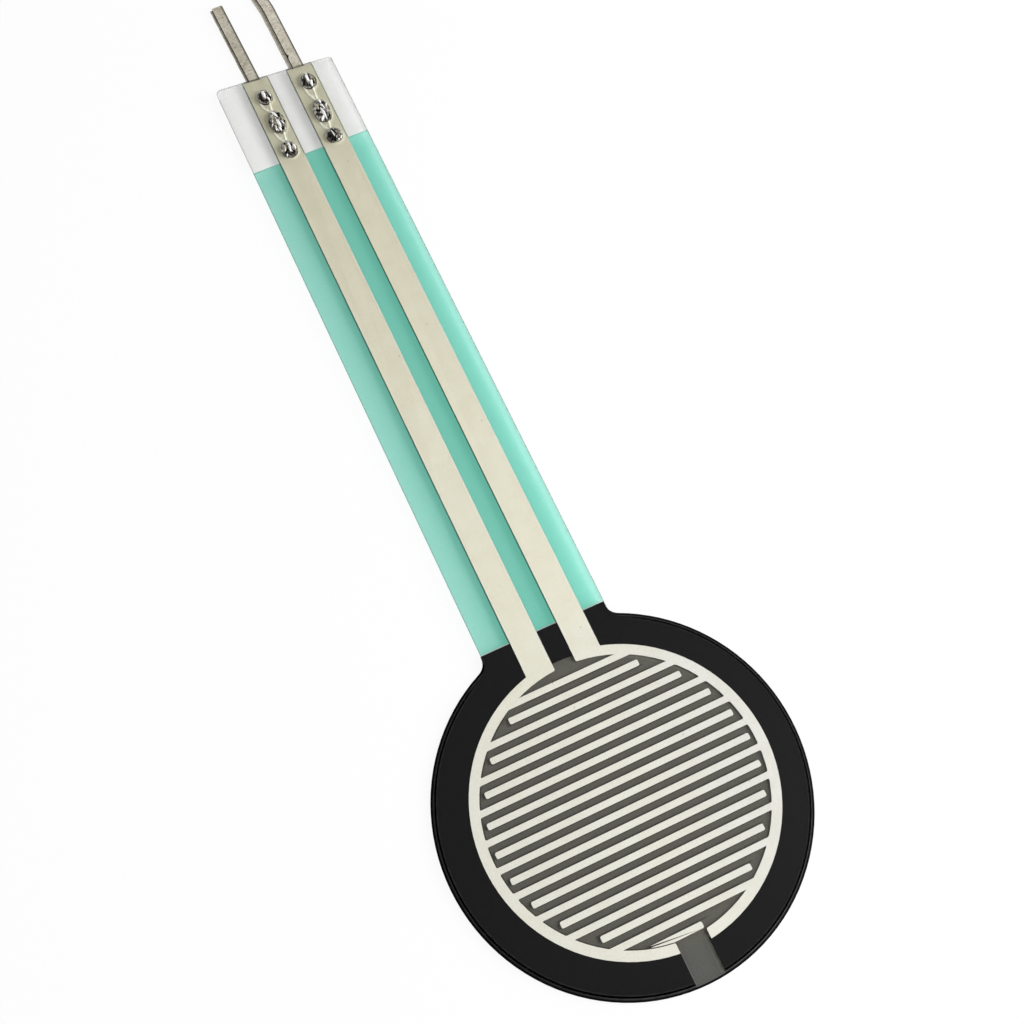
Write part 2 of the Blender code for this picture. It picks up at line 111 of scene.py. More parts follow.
class Field:
    """A value that changes over a surface: one output of a node in a recipe."""

    def __init__(self, recipe, socket):
        self.recipe = recipe
        self.socket = socket

    def output(self, name):
        """Another output of the same node."""
        return Field(self.recipe, self.socket.node.outputs[name])

    def calc(self, operation, other=0.0):
        return self.recipe.node("ShaderNodeMath", {0: self, 1: other}, operation=operation)

    def __add__(self, other):
        return self.calc("ADD", other)

    __radd__ = __add__

    def __sub__(self, other):
        return self.calc("SUBTRACT", other)

    def __rsub__(self, other):
        return self.recipe.node("ShaderNodeMath", {0: other, 1: self}, operation="SUBTRACT")

    def __mul__(self, other):
        return self.calc("MULTIPLY", other)

    def __pow__(self, other):
        return self.calc("POWER", other)

    def rise(self, low, high, start=0.0, stop=1.0):
        """Goes smoothly from start to stop as the value goes from low to high."""
        limits = {"Value": self, "From Min": low, "From Max": high, "To Min": start, "To Max": stop}
        return self.recipe.node("ShaderNodeMapRange", limits, interpolation_type="SMOOTHSTEP")

    def fall(self, low, high):
        """One up to low, and nothing from high on."""
        return self.rise(low, high, 1.0, 0.0)

    def band(self, low, high, soft=LINE_SOFTNESS):
        """One between low and high, and nothing outside."""
        return self.rise(low - soft, low + soft) * self.fall(high - soft, high + soft)

    def axes(self):
        """The x, y and z of a place or a direction."""
        parts = self.recipe.node("ShaderNodeSeparateXYZ", {"Vector": self})
        return parts, parts.output("Y"), parts.output("Z")

    def stretched(self, along):
        """The place scaled along each axis, so that grain drawn on it is drawn out."""
        return self.recipe.node("ShaderNodeVectorMath", {0: self, 1: along}, operation="MULTIPLY")

    def grain(self, scale, low=0.0, high=1.0, detail=2.0):
        """Noise of so many blotches a millimetre at this place, spread from low to high."""
        speckle = self.recipe.node("ShaderNodeTexNoise", {"Vector": self, "Scale": scale, "Detail": detail})
        return speckle.rise(NOISE_LOW, NOISE_HIGH, low, high)

    def relief(self, distance):
        """A bump normal from a height, with the distance in metres that a height of one stands for."""
        return self.recipe.node("ShaderNodeBump", {"Height": self, "Distance": distance})


def distance_from(x, y, middle):
    """How far a place is from a point, across the part."""
    across = x - middle[0]
    along = y - middle[1]
    return (across * across + along * along).calc("SQRT")


print("a middle grey is", round(srgb(128, 128, 128)[0], 3), "in linear light")

# %% [markdown]
# ## Recipes
#
# A Recipe holds the nodes of one material, or of the world. It makes nodes, mixes colours and shaders,
# and at the end gives the finished material. Every piece keeps its mesh at the part's own origin, so
# Object coordinates times a thousand are millimetres on the part, and no piece needs a UV map. Each
# finish is one function: the line with @finish above it hands it a new recipe, and keeps the material
# that it gives back.

# %% Recipes
FINISHES = {}


class Recipe:
    """The nodes of a material or a world."""

    def __init__(self, owner):
        self.owner = owner
        owner.use_nodes = True
        owner.node_tree.nodes.clear()

    def node(self, kind, inputs=None, **settings):
        """Adds a node with its settings, and values or Fields for its inputs. Gives its first output."""
        made = self.owner.node_tree.nodes.new(kind)
        for name, value in settings.items():
            setattr(made, name, value)
        for name, value in (inputs or {}).items():
            if isinstance(value, Field):
                self.owner.node_tree.links.new(value.socket, made.inputs[name])
            else:
                made.inputs[name].default_value = value
        return Field(self, made.outputs[0])

    def attribute(self, name):
        """A value that the mesh carries at its corners."""
        return self.node("ShaderNodeAttribute", attribute_name=name).output("Fac")

    def flatness(self):
        """One where the surface faces up or down, and nothing on a cut edge."""
        up = self.node("ShaderNodeNewGeometry").output("True Normal").axes()[2]
        return up.calc("ABSOLUTE").rise(0.15, 0.3)

    def blend(self, share, first, second, way="MIX"):
        """Two colours mixed by a share, or multiplied."""
        inputs = {"Fac": share, "Color1": first, "Color2": second}
        return self.node("ShaderNodeMixRGB", inputs, blend_type=way)

    def mix(self, share, first, second):
        """Two shaders mixed by a share."""
        return self.node("ShaderNodeMixShader", {0: share, 1: first, 2: second})

    def finished(self, shader, kind="ShaderNodeOutputMaterial"):
        """Makes a shader the surface, and gives back the material or the world."""
        output = self.owner.node_tree.nodes.new(kind)
        self.owner.node_tree.links.new(shader.socket, output.inputs["Surface"])
        return self.owner

    def opaque(self, colour, roughness, others):
        """A finished Principled surface."""
        inputs = {"Base Color": colour, "Roughness": roughness, **others}
        return self.finished(self.node("ShaderNodeBsdfPrincipled", inputs))


def finish(name):
    """Runs the function below it with a new recipe and the place in millimetres, and keeps the material."""
    def run(recipe_for):
        recipe = Recipe(bpy.data.materials.new(name + "_finish"))
        place = recipe.node("ShaderNodeTexCoord").output("Object").stretched((1.0 / MM,) * 3)
        FINISHES[name] = recipe_for(recipe, place, *place.axes())
        print("made", FINISHES[name].name)
        return recipe_for

    return run


print("one unit in a recipe is", MM, "m")

# %% [markdown]
# ## Table
#
# The part lies on a white table. A diffuse white would do, but it turns grey away from the lamp, so what
# the camera sees directly is mostly a plain white of strength 1, and the rest is the real surface with
# the part's shadow. Where it is seen through the clear film, it is all real surface, so the shadows in
# the film are true.

# %% Table
TABLE_REACH = 3.0
TABLE_CUTS = 8
TABLE_GAP = 0.005 * MM
TABLE_WHITE = (0.97, 0.97, 0.97, 1.0)
PLAIN_WHITE_SHARE = 0.92


def to_mesh(shape, name, *materials):
    """Ends the work on a bmesh, and gives it as a mesh with its materials."""
    mesh = bpy.data.meshes.new(name)
    shape.to_mesh(mesh)
    shape.free()
    for material in materials:
        mesh.materials.append(material)
    return mesh


recipe = Recipe(bpy.data.materials.new("white_table"))
path = recipe.node("ShaderNodeLightPath")
seen = path.output("Is Camera Ray").calc("MAXIMUM", path.output("Is Glossy Ray"))
seen = seen.calc("MAXIMUM", path.output("Is Transmission Ray"))
bare = path.output("Transparent Depth").calc("LESS_THAN", 0.5)
surface = recipe.node("ShaderNodeBsdfDiffuse", {"Color": TABLE_WHITE})
plain = recipe.node("ShaderNodeEmission", {"Color": WHITE, "Strength": 1.0})
white_table = recipe.finished(recipe.mix(seen * bare * PLAIN_WHITE_SHARE, surface, plain))

shape = bmesh.new()
bmesh.ops.create_grid(shape, x_segments=TABLE_CUTS, y_segments=TABLE_CUTS, size=TABLE_REACH)
table = new_object("table", to_mesh(shape, "table", white_table))
table.location.z = -TABLE_GAP
print("table reaches", TABLE_REACH, "m")

# %% [markdown]
# ## Light
#
# One soft lamp stands to the right of the part, near enough that the pad's right side is brighter than
# its left, and the shadows of the tracks fall to the left. The rest comes from a room that is white at
# the horizon and dimmer overhead, because the glossy black film mirrors what is above it and still has to
# look black.

# %% Light
LAMP_PLACE = Vector((86.0, -20.0, 62.0)) * MM
LAMP_AIM = Vector((0.0, 12.0, 0.0)) * MM
LAMP_WIDTH = 84.0 * MM
LAMP_POWER = 0.156
ROOM_OVERHEAD = 0.16
ROOM_HORIZON = 1.0
ROOM_DIMS_FROM, ROOM_DIMS_TO = 0.3, 0.85

lamp = new_object("window", bpy.data.lights.new("window", "AREA"))
lamp.data.energy = LAMP_POWER
lamp.data.size = LAMP_WIDTH
lamp.location = LAMP_PLACE
lamp.rotation_euler = (LAMP_AIM - LAMP_PLACE).to_track_quat("-Z", "Y").to_euler()

recipe = Recipe(bpy.data.worlds.new("room"))
height = recipe.node("ShaderNodeTexCoord").output("Generated").axes()[2]
glow = height.rise(ROOM_DIMS_FROM, ROOM_DIMS_TO, ROOM_HORIZON, ROOM_OVERHEAD)
sky = recipe.node("ShaderNodeBackground", {"Strength": glow, "Color": WHITE})
bpy.context.scene.world = recipe.finished(sky, "ShaderNodeOutputWorld")
bpy.context.scene.view_settings.view_transform = "Standard"
print("lamp", round((LAMP_PLACE - LAMP_AIM).length / MM), "mm away")

# %% [markdown]
# ## Places on the part
#
# Many finishes change at the same places: at the sides of the tracks, where the coat starts and ends, and
# around the ring. Painted masks could say where, but the part is drawn with straight lines and circles,
# so a few lengths in millimetres and a sum in the shader do it, and stay sharp at any distance.

# %% Places on the part
TRACK_HALF = 0.7085
TRACK_SOFTNESS = 0.008
TRACK_MIDDLES = (-0.956, 1.584)
TAIL_SIDES = (-3.244, 3.432)
TAIL_END = 43.75
COAT_START = 9.132
COAT_END = 38.35
PAD_MIDDLE = (0.0, 0.0)
PAD_TOP = (7.5, 8.0)
RING_MIDDLE = (0.148, 0.028)
RING_INNER = 6.951
FIRST_FINGER = 6.3215
FINGER_PITCH = 0.683
FINGER_WIDTH = 0.322


def over_tracks(x):
    """One over either track, and nothing beside them."""
    return sum(x.band(middle - TRACK_HALF, middle + TRACK_HALF, TRACK_SOFTNESS) for middle in TRACK_MIDDLES)


def at_track_sides(x, left_line, right_line):
    """One in thin lines along the sides of both tracks, each from and to a distance from its side."""
    lines = 0.0
    for middle in TRACK_MIDDLES:
        for side, line in ((middle - TRACK_HALF, left_line), (middle + TRACK_HALF, right_line)):
            if line:
                lines = lines + x.band(side + line[0], side + line[1])
    return lines


print("tail is", round(TAIL_SIDES[1] - TAIL_SIDES[0], 2), "mm wide")

# %% [markdown]
# ## Clear film
#
# The front film is clear polyester. Glass with refraction would be right for a block, but in a sheet this
# thin it only adds noise and blocks the light, so the film is a Transparent shader with a slight tint.
# Past the coat's end its rear is milky, and milkier in the open film left of and between the tracks, as
# painted light that lifts the shade there. It carries thin lines beside the ink: painted shade along
# the tracks' sides, and painted highlights just inside their edges.

# %% The rear of the film
FILM_FRONT_TINT = (0.970, 0.970, 0.963, 1.0)
FILM_REAR_TINT = (0.988, 0.988, 0.987, 1.0)
FILM_SHADE_LINE_TINT = (0.42, 0.50, 0.46, 1.0)
FILM_SIDE_TINT = (0.66, 0.70, 0.68, 1.0)
FILM_MIDDLE_LEVEL = 0.40
LINES_START = (7.7, 7.8)
SHADE_LINE_LEFT = (-0.062, 0.004)
SHADE_LINE_RIGHT = (-0.02, 0.03)
HIGHLIGHT_LINES = ((0.006, 0.045), (-0.05, -0.004))
SIDE_LINE_WIDTH = 0.035
SIDE_LINE_START = (9.2, 9.3)
OPEN_ON_LEFT = (-3.6, -2.2, 0.35)
OPEN_BETWEEN = (-0.3, 0.35, 0.3)
MILKY_SHARE = 0.52
PAINTED_LIGHT_IN_THE_OPEN = 0.46
SEAM_SHARE = 0.30


def painted_edge_lines(x, y, crimped):
    """Thin lines in the film's rear: painted shade beside the ink, painted highlights just inside its edges.
    """
    on_tail = y.rise(*LINES_START)
    dark = at_track_sides(x, SHADE_LINE_LEFT, None) + at_track_sides(x, None, SHADE_LINE_RIGHT) * crimped
    pale = at_track_sides(x, *HIGHLIGHT_LINES)
    return dark * on_tail, pale * (on_tail - crimped)


def clear_and_milky(recipe, x, y, front, beside):
    """The film as light goes through it: a tint, and some milkiness on its rear."""
    crimped = y.rise(COAT_END - 0.02, COAT_END + 0.02)
    dark, pale = painted_edge_lines(x, y, crimped)
    within = x.band(TAIL_SIDES[0] + SIDE_LINE_WIDTH, TAIL_SIDES[1] - SIDE_LINE_WIDTH)
    side_line = (1.0 - within) * y.rise(*SIDE_LINE_START)
    # The darker rear tint draws painted shade in thin lines beside the tracks.
    rear_tint = recipe.blend(dark, FILM_REAR_TINT, FILM_SHADE_LINE_TINT)
    front_tint = recipe.blend(side_line, FILM_FRONT_TINT, FILM_SIDE_TINT)
    clear = recipe.node("ShaderNodeBsdfTransparent", {"Color": recipe.blend(front, rear_tint, front_tint)})
    milky = recipe.node("ShaderNodeBsdfDiffuse", {"Color": WHITE})
    # More milky white in the open film is painted light that lifts the shade left of and between the tracks.
    in_the_open = x.band(*OPEN_ON_LEFT) + x.band(*OPEN_BETWEEN) * 0.6
    hazy = crimped * (in_the_open * PAINTED_LIGHT_IN_THE_OPEN + MILKY_SHARE)
    hazy = hazy + y.band(COAT_START - 0.03, COAT_START + 0.02) * SEAM_SHARE
    # The pale lines mix in milky white as painted highlights just inside the tracks' edges.
    hazy = hazy * (1.0 - dark * 0.9) * beside + pale * 0.5
    return recipe.mix(hazy * (1.0 - front), clear, milky)


print("film is milky by", MILKY_SHARE, "past the coat")

# %% [markdown]
# The film's front face mixes in a gloss that grows at a slant. Layer Weight gives the slant alike from
# both sides, where a Fresnel node would shut in the light that leaves the film. The cut edges show as
# thin grey lines with patches of painted glint, and the pad's edge is rolled off, so it has no gloss of
# its own.

# %% Clear film
FILM_EDGE_TINT = (0.55, 0.57, 0.56, 1.0)
FILM_EDGE_GLINT = srgb(120, 122, 118)
FILM_END_TINT = (0.93, 0.94, 0.93, 1.0)
FILM_END_GLINT = srgb(225, 226, 224)
FILM_GLOSS = 0.036
FILM_GLOSS_AT_SLANT = 0.14
FILM_RADIUS = 8.959


def film_gloss(x, y):
    """How much of the front face is gloss."""
    slant = x.recipe.node("ShaderNodeLayerWeight", {"Blend": 0.5}).output("Facing")
    rolled_off = distance_from(x, y, PAD_MIDDLE).band(FILM_RADIUS - 0.08, FILM_RADIUS + 0.1)
    return (slant**5.0 * FILM_GLOSS_AT_SLANT + FILM_GLOSS) * (1.0 - rolled_off * y.fall(*PAD_TOP))


def film_edge(recipe, place, y, beside):
    """The cut edge: see-through with patches of painted glint, and paler at the tail's end."""
    bare_end = y.rise(TAIL_END - 0.45, TAIL_END - 0.4) * beside
    edge_tint = recipe.blend(bare_end, FILM_EDGE_TINT, FILM_END_TINT)
    edge_glint = recipe.blend(bare_end, FILM_EDGE_GLINT, FILM_END_GLINT)
    see_through = recipe.node("ShaderNodeBsdfTransparent", {"Color": edge_tint})
    glint = recipe.node("ShaderNodeBsdfDiffuse", {"Color": edge_glint})
    # Patches of grey diffuse on the cut edge are painted glints.
    glint_patches = place.grain(5.0, detail=3.0).rise(0.62, 0.8, 0.04, 0.4)
    return recipe.mix(glint_patches, see_through, glint)


@finish("clear_film")
def make_clear_film(recipe, place, x, y, z):
    level = z - recipe.attribute("lift")
    front = level.rise(FILM_MIDDLE_LEVEL - 0.01, FILM_MIDDLE_LEVEL + 0.01)
    beside = 1.0 - over_tracks(x)
    through = clear_and_milky(recipe, x, y, front, beside)
    ripple = place.grain(0.5).relief(0.001 * MM)
    gloss = recipe.node("ShaderNodeBsdfGlossy", {"Color": WHITE, "Roughness": 0.16, "Normal": ripple})
    face = recipe.mix(film_gloss(x, y) * front, through, gloss)
    return recipe.finished(recipe.mix(recipe.flatness(), film_edge(recipe, place, y, beside), face))

# %% [markdown]
# ## Silver print
#
# The ring, fingers and tracks are silver ink, screen printed on the rear of the film and seen through it.
# The ink isn't shiny: its flakes lie at random, so it is a pale cream with a fine grain. It is whitest in
# the ring and the fingers. Towards the solder tabs it is painted darker, as shade where the lamp's light
# falls off, and on the right of the pad it is a little darker, as painted shade against the lamp there.
# On the creases, on the film held up between them and on the lamp side of each lip it is painted pale,
# as highlights.

# %% Silver print
INK_AT_RING = srgb(242, 241, 231)
INK_AT_TAIL = srgb(242, 239, 221)
INK_SHADED_AT_TABS = srgb(224, 219, 196)
INK_IN_FINGERS = srgb(241, 240, 231)
INK_AT_CRIMPS = srgb(214, 211, 187)
INK_HIGHLIGHT = srgb(255, 253, 236)
INK_SHADE_ON_RIGHT = (0.92, 0.925, 0.965, 1.0)
INK_CLOUD = srgb(246, 243, 236)
INK_GRAIN = srgb(243, 243, 240)
INK_SPECK = srgb(140, 132, 108)
TAIL_TONE = (4.0, 11.0)
SHADE_TOWARDS_TABS = (9.0, 43.0)
RIGHT_SHADE = (0.0, 7.0)
RIGHT_SHADE_END = (7.0, 10.0)


@finish("silver_print")
def make_silver_print(recipe, place, x, y, z):
    within_ring = distance_from(x, y, RING_MIDDLE).fall(RING_INNER - 0.05, RING_INNER)
    on_right = x.rise(*RIGHT_SHADE) * y.fall(*RIGHT_SHADE_END)
    specks = recipe.node("ShaderNodeTexVoronoi", {"Vector": place, "Scale": 0.5}, voronoi_dimensions="2D")
    chosen = specks.output("Color").axes()[0].rise(0.6, 0.7)
    ink = recipe.blend(y.rise(*TAIL_TONE), INK_AT_RING, INK_AT_TAIL)
    for share, colour, way in (
        # Painted shade: darker towards the tabs, where the lamp's light falls off.
        (y.rise(*SHADE_TOWARDS_TABS), INK_SHADED_AT_TABS, "MIX"),
        (y.rise(COAT_END - 0.2, COAT_END + 1.0), INK_AT_CRIMPS, "MIX"),
        (within_ring, INK_IN_FINGERS, "MIX"),
        # Painted shade on the right of the pad, against the lamp on that side.
        (on_right, INK_SHADE_ON_RIGHT, "MULTIPLY"),
        (place.grain(0.9, 0.0, 0.4), INK_CLOUD, "MULTIPLY"),
        (place.grain(14.0, 0.0, 0.6, 3.0), INK_GRAIN, "MULTIPLY"),
        (specks.rise(0.008, 0.025, 0.6, 0.0) * chosen, INK_SPECK, "MIX"),
        # Painted highlights on the creases, the film held up between them and the lamp side of each lip.
        (recipe.attribute("painted_highlight").rise(0.15, 0.65), INK_HIGHLIGHT, "MIX"),
    ):
        ink = recipe.blend(share, ink, colour, way)
    flakes = place.grain(20.0).relief(0.002 * MM)
    return recipe.opaque(ink, place.grain(6.0, 0.5, 0.65), {"Specular IOR Level": 0.2, "Normal": flakes})

# %% [markdown]
# ## Mint coat
#
# On the tail a green coat covers the ink. It is a tinted varnish: most of its colour is the white table
# seen through it, and a little is scattered in the coat itself. So it is a green Transparent shader with
# a share of Diffuse on its front face. It is thicker at its end, so it is darker there. Between the
# tracks its tint is darker as painted shade, with a little more scatter, and on the right its tint is
# darker as painted shade against the lamp on that side.

# %% Mint coat
COAT_TINT = (0.91, 1.0, 0.995, 1.0)
COAT_TINT_SHADED_RIGHT = (0.82, 0.985, 0.965, 1.0)
COAT_CLOUD = (0.965, 0.99, 0.99, 1.0)
COAT_SHADE_BETWEEN_TRACKS = (0.80, 0.94, 0.925, 1.0)
COAT_BEAD_TINT = (0.50, 0.72, 0.67, 1.0)
COAT_SCATTER = (0.26, 1.0, 0.78, 1.0)
COAT_SCATTER_DEEP = (0.22, 0.92, 0.66, 1.0)
COAT_SCATTER_SHARE = 0.395
COAT_SCATTER_BETWEEN_TRACKS = 0.045
COAT_FRONT_LEVEL = 0.306


@finish("mint_coat")
def make_mint_coat(recipe, place, x, y, z):
    # Between the tracks: painted shade in a darker tint, and a little more scatter.
    between_tracks = x.band(*TRACK_MIDDLES, 0.1)
    # A darker tint on the right is painted shade against the lamp on that side.
    tint = recipe.blend(x.rise(-1.0, 1.6), COAT_TINT, COAT_TINT_SHADED_RIGHT)
    tint = recipe.blend(place.grain(0.35, 0.0, 0.5), tint, COAT_CLOUD, "MULTIPLY")
    tint = recipe.blend(between_tracks, tint, COAT_SHADE_BETWEEN_TRACKS)
    tint = recipe.blend(y.band(COAT_END - 0.05, COAT_END + 0.05), tint, COAT_BEAD_TINT)
    clear = recipe.node("ShaderNodeBsdfTransparent", {"Color": tint})
    scatter = recipe.blend(place.grain(11.0, 0.0, 0.4, 3.0), COAT_SCATTER, COAT_SCATTER_DEEP)
    milky = recipe.node("ShaderNodeBsdfDiffuse", {"Color": scatter})
    front = z.rise(COAT_FRONT_LEVEL - 0.001, COAT_FRONT_LEVEL + 0.001)
    share = front * (between_tracks * COAT_SCATTER_BETWEEN_TRACKS + COAT_SCATTER_SHARE)
    return recipe.finished(recipe.mix(share, clear, milky))

# %% [markdown]
# ## Black spacer
#
# Behind the clear film a black adhesive ring holds the films apart. It is opaque, so a Principled shader
# with the right grain is enough: a soft black with a satin face. Near the pad's edge it has a thin broken
# painted glint, and outside that a band of painted shade, near black and without specular, where the
# film's cut edge looks dark.

# %% Black spacer
SPACER_BLACKS = (srgb(11, 11, 12), srgb(14, 14, 15))
SPACER_GLINT = srgb(45, 45, 45)
SPACER_EDGE_SHADE = srgb(1, 1, 1)
SPACER_SHADE_FROM = (8.86, 8.88)
GLINT_RING = (8.82, 8.855, 0.01)


@finish("black_spacer")
def make_black_spacer(recipe, place, x, y, z):
    reach = distance_from(x, y, PAD_MIDDLE)
    on_pad = y.fall(*PAD_TOP)
    # Painted shade: a near black band without specular, where the film's cut edge looks dark.
    edge_shade = reach.rise(*SPACER_SHADE_FROM) * on_pad
    glint = reach.band(*GLINT_RING) * place.grain(3.0, 0.2, 1.0, 3.0) * on_pad
    black = recipe.blend(place.grain(10.0, detail=3.0), *SPACER_BLACKS)
    black = recipe.blend(glint, black, SPACER_GLINT)
    black = recipe.blend(edge_shade, black, SPACER_EDGE_SHADE)
    mirror = edge_shade.rise(0.0, 1.0, 0.1, 0.0)
    return recipe.opaque(black, place.grain(3.0, 0.5, 0.58), {"Specular IOR Level": mirror})

# %% [markdown]
# ## Carbon
#
# Within the ring, grey carbon ink on a dark film faces the fingers. It is a coarse matt grey. It is
# darker in thin painted shades beside the fingers, which stand just in front of it. Beside the ring's
# right side and the right wall of the vent it is painted paler, as painted light that fills the shadows
# they cast, and a thin painted highlight runs along the vent's left wall. The fingers are evenly spaced,
# so one repeating ramp, PINGPONG, gives the distance from the nearest.

# %% Carbon
VENT_SIDES = (-0.7265, 0.8005)
VENT_TOP = -7.3
CARBON = srgb(97, 96, 88)
CARBON_DARK = srgb(83, 81, 73)
CARBON_LIGHT = srgb(109, 108, 101)
CARBON_CLOUD = srgb(101, 98, 94)
CARBON_FILL_LIGHT = srgb(150, 149, 139)
CARBON_IN_VENT = srgb(90, 91, 90)
CARBON_SHADE = srgb(20, 19, 16)
CARBON_HIGHLIGHT_LINE = srgb(170, 170, 166)
SHADE_SOFTNESS = 0.02
SHADES_END = (6.5, 6.6)
RIM_SHADE = (6.88, 7.0, SHADE_SOFTNESS)
RIM_SHADE_LEFT = (-3.0, 0.0)
RIM_SHADE_UP = (5.8, 6.3)
FILL_LIGHT_AT_RING = (6.74, 6.95)
FILL_LIGHT_ON_RIGHT = (0.5, 5.5)


def carbon_shade(x, y, reach):
    """The shades beside the fingers, and under the upper left of the ring."""
    from_finger = (y - (FIRST_FINGER + 0.02)).calc("PINGPONG", FINGER_PITCH / 2)
    beside = from_finger.band(FINGER_WIDTH / 2 - 0.02, FINGER_WIDTH / 2 + 0.06, SHADE_SOFTNESS)
    shade = beside * reach.fall(*SHADES_END)
    rim_shade = reach.band(*RIM_SHADE) * x.fall(*RIM_SHADE_LEFT) * y.fall(*RIM_SHADE_UP)
    return shade.calc("MAXIMUM", rim_shade) * 0.5


@finish("carbon_print")
def make_carbon_print(recipe, place, x, y, z):
    reach = distance_from(x, y, RING_MIDDLE)
    in_vent = y.fall(VENT_TOP - 0.3, VENT_TOP + 0.3)
    # Painted light that fills the shadow the ring's right side casts on the carbon.
    at_ring = reach.rise(*FILL_LIGHT_AT_RING) * x.rise(*FILL_LIGHT_ON_RIGHT) * 0.75
    # Painted light that fills the shadow of the vent's right wall.
    at_wall = x.rise(VENT_SIDES[1] - 0.27, VENT_SIDES[1] - 0.02) * in_vent * 0.85
    # A thin painted highlight along the vent's left wall.
    line = x.band(VENT_SIDES[0] + 0.03, VENT_SIDES[0] + 0.07) * in_vent
    grey = recipe.blend(place.grain(16.0, detail=3.0), CARBON_DARK, CARBON_LIGHT)
    for share, colour in (
        (0.55, CARBON),
        (place.grain(0.8, 0.0, 0.35), CARBON_CLOUD),
        (in_vent * 0.6, CARBON_IN_VENT),
        (carbon_shade(x, y, reach), CARBON_SHADE),
        (at_ring.calc("MAXIMUM", at_wall), CARBON_FILL_LIGHT),
        (line * 0.2, CARBON_HIGHLIGHT_LINE),
    ):
        grey = recipe.blend(share, grey, colour)
    coarse = place.grain(18.0).relief(0.004 * MM)
    return recipe.opaque(grey, 0.8, {"Specular IOR Level": 0.2, "Normal": coarse})

# %% [markdown]
# ## Dark film
#
# The film that carries the carbon is a near black. It is a little wider than the layers on it, so it
# shows as a ledge round the pad, with a patchy painted glint, paler than its outer edge. At the vent's
# mouth it continues the carbon's grey.

# %% Dark film
DARK_FILM_BLACKS = (srgb(20, 20, 21), srgb(30, 30, 31))
LEDGE_GLINT = srgb(82, 82, 84)
OUTER_EDGE = srgb(5, 5, 6)


@finish("dark_film")
def make_dark_film(recipe, place, x, y, z):
    reach = distance_from(x, y, PAD_MIDDLE)
    # A patchy painted glint along the ledge.
    ledge_glint = reach.band(FILM_RADIUS - 0.01, FILM_RADIUS + 0.07) * place.grain(2.5, 0.55, 1.0, 3.0)
    outside = reach.rise(FILM_RADIUS + 0.08, FILM_RADIUS + 0.1)
    mouth = x.band(*VENT_SIDES, 0.02) * y.fall(-8.8, -8.7)
    mouth = mouth * reach.fall(FILM_RADIUS + 0.07, FILM_RADIUS + 0.09)
    black = recipe.blend(place.grain(8.0, detail=3.0), *DARK_FILM_BLACKS)
    for share, colour in ((ledge_glint, LEDGE_GLINT), (outside, OUTER_EDGE), (mouth, CARBON_IN_VENT)):
        black = recipe.blend(share, black, colour)
    return recipe.opaque(black, place.grain(4.0, 0.35, 0.5), {"Specular IOR Level": 0.12})

# %% [markdown]
# ## Rear adhesive
#
# A disc of mounting adhesive covers the rear of the pad. It is a milky amber film with small trapped
# bubbles. Soft spots from a Voronoi texture stand for the bubbles, which is cheaper than modelling
# hundreds of them.

# %% Rear adhesive
ADHESIVE = srgb(196, 189, 168)
ADHESIVE_DEEP = srgb(184, 176, 152)
BUBBLE = srgb(214, 208, 190)


@finish("rear_adhesive")
def make_rear_adhesive(recipe, place, x, y, z):
    cells = recipe.node("ShaderNodeTexVoronoi", {"Vector": place, "Scale": 1.6})
    bubble = cells.fall(0.05, 0.14)
    colour = recipe.blend(place.grain(0.6, detail=4.0), ADHESIVE, ADHESIVE_DEEP)
    colour = recipe.blend(bubble * 0.6, colour, BUBBLE)
    return recipe.opaque(colour, place.grain(2.0, 0.25, 0.5), {"Normal": bubble.relief(0.01 * MM)})

# %% [markdown]
# ## Tinned metal
#
# The contacts are stamped from tinned sheet. Their faces are dull and mottled, so the colour and the
# roughness both change from place to place. Where edges are worn the tin is paler, and the fold, the gap
# between the leaves and the tab's root are darkened as painted shade: the mesh says how much in an
# attribute, from -1 for worn to 1 for full painted shade.

# %% Tinned metal
TIN = srgb(252, 247, 232)
TIN_DULL = srgb(227, 220, 202)
TIN_SPECK = srgb(140, 126, 108)
TIN_ON_LEFT = (0.865, 0.865, 0.85, 1.0)
TIN_SHADE = srgb(36, 33, 28)
TIN_WORN = srgb(255, 250, 232)


@finish("tinned_contact")
def make_tinned_contact(recipe, place, x, y, z):
    fine = place.stretched((5.0, 11.0, 5.0)).grain(1.0, detail=4.0)
    slant = {"Vector": place, "Rotation": (0.0, 0.0, 0.7), "Scale": (1.0, 2.2, 1.0)}
    specks = recipe.node("ShaderNodeMapping", slant).grain(5.0, detail=5.0).rise(0.5, 1.0, 0.0, 0.42)
    shade_and_wear = recipe.attribute("shade_and_wear")
    colour = recipe.blend(place.grain(1.9, detail=4.0), TIN_DULL, TIN)
    for share, other, way in (
        (fine * 0.6, TIN_DULL, "MIX"),
        (specks, TIN_SPECK, "MIX"),
        (x.fall(0.0, 0.8), TIN_ON_LEFT, "MULTIPLY"),
        # Above 0 is painted shade in the fold, the gap and the root; below 0 is worn, paler metal.
        (shade_and_wear.rise(0.0, 1.0, 0.0, 0.95), TIN_SHADE, "MIX"),
        (shade_and_wear.rise(-1.0, 0.0, 0.9, 0.0), TIN_WORN, "MIX"),
    ):
        colour = recipe.blend(share, colour, other, way)
    roughness = fine * 0.18 + place.grain(3.0, 0.42, 0.55)
    return recipe.opaque(colour, roughness, {"Metallic": 0.6, "Normal": fine.relief(0.006 * MM)})

# %% [markdown]
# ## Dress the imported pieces
#
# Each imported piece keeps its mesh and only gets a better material. The record says which slot each one
# belongs to, so one loop serves them all, and a new finger would be dressed without a new line here.

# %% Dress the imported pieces
for part in frame["record"]["subparts"]:
    materials = frame["nodes"][part["node"]].data.materials
    materials.clear()
    materials.append(FINISHES[part["material_slot"]])

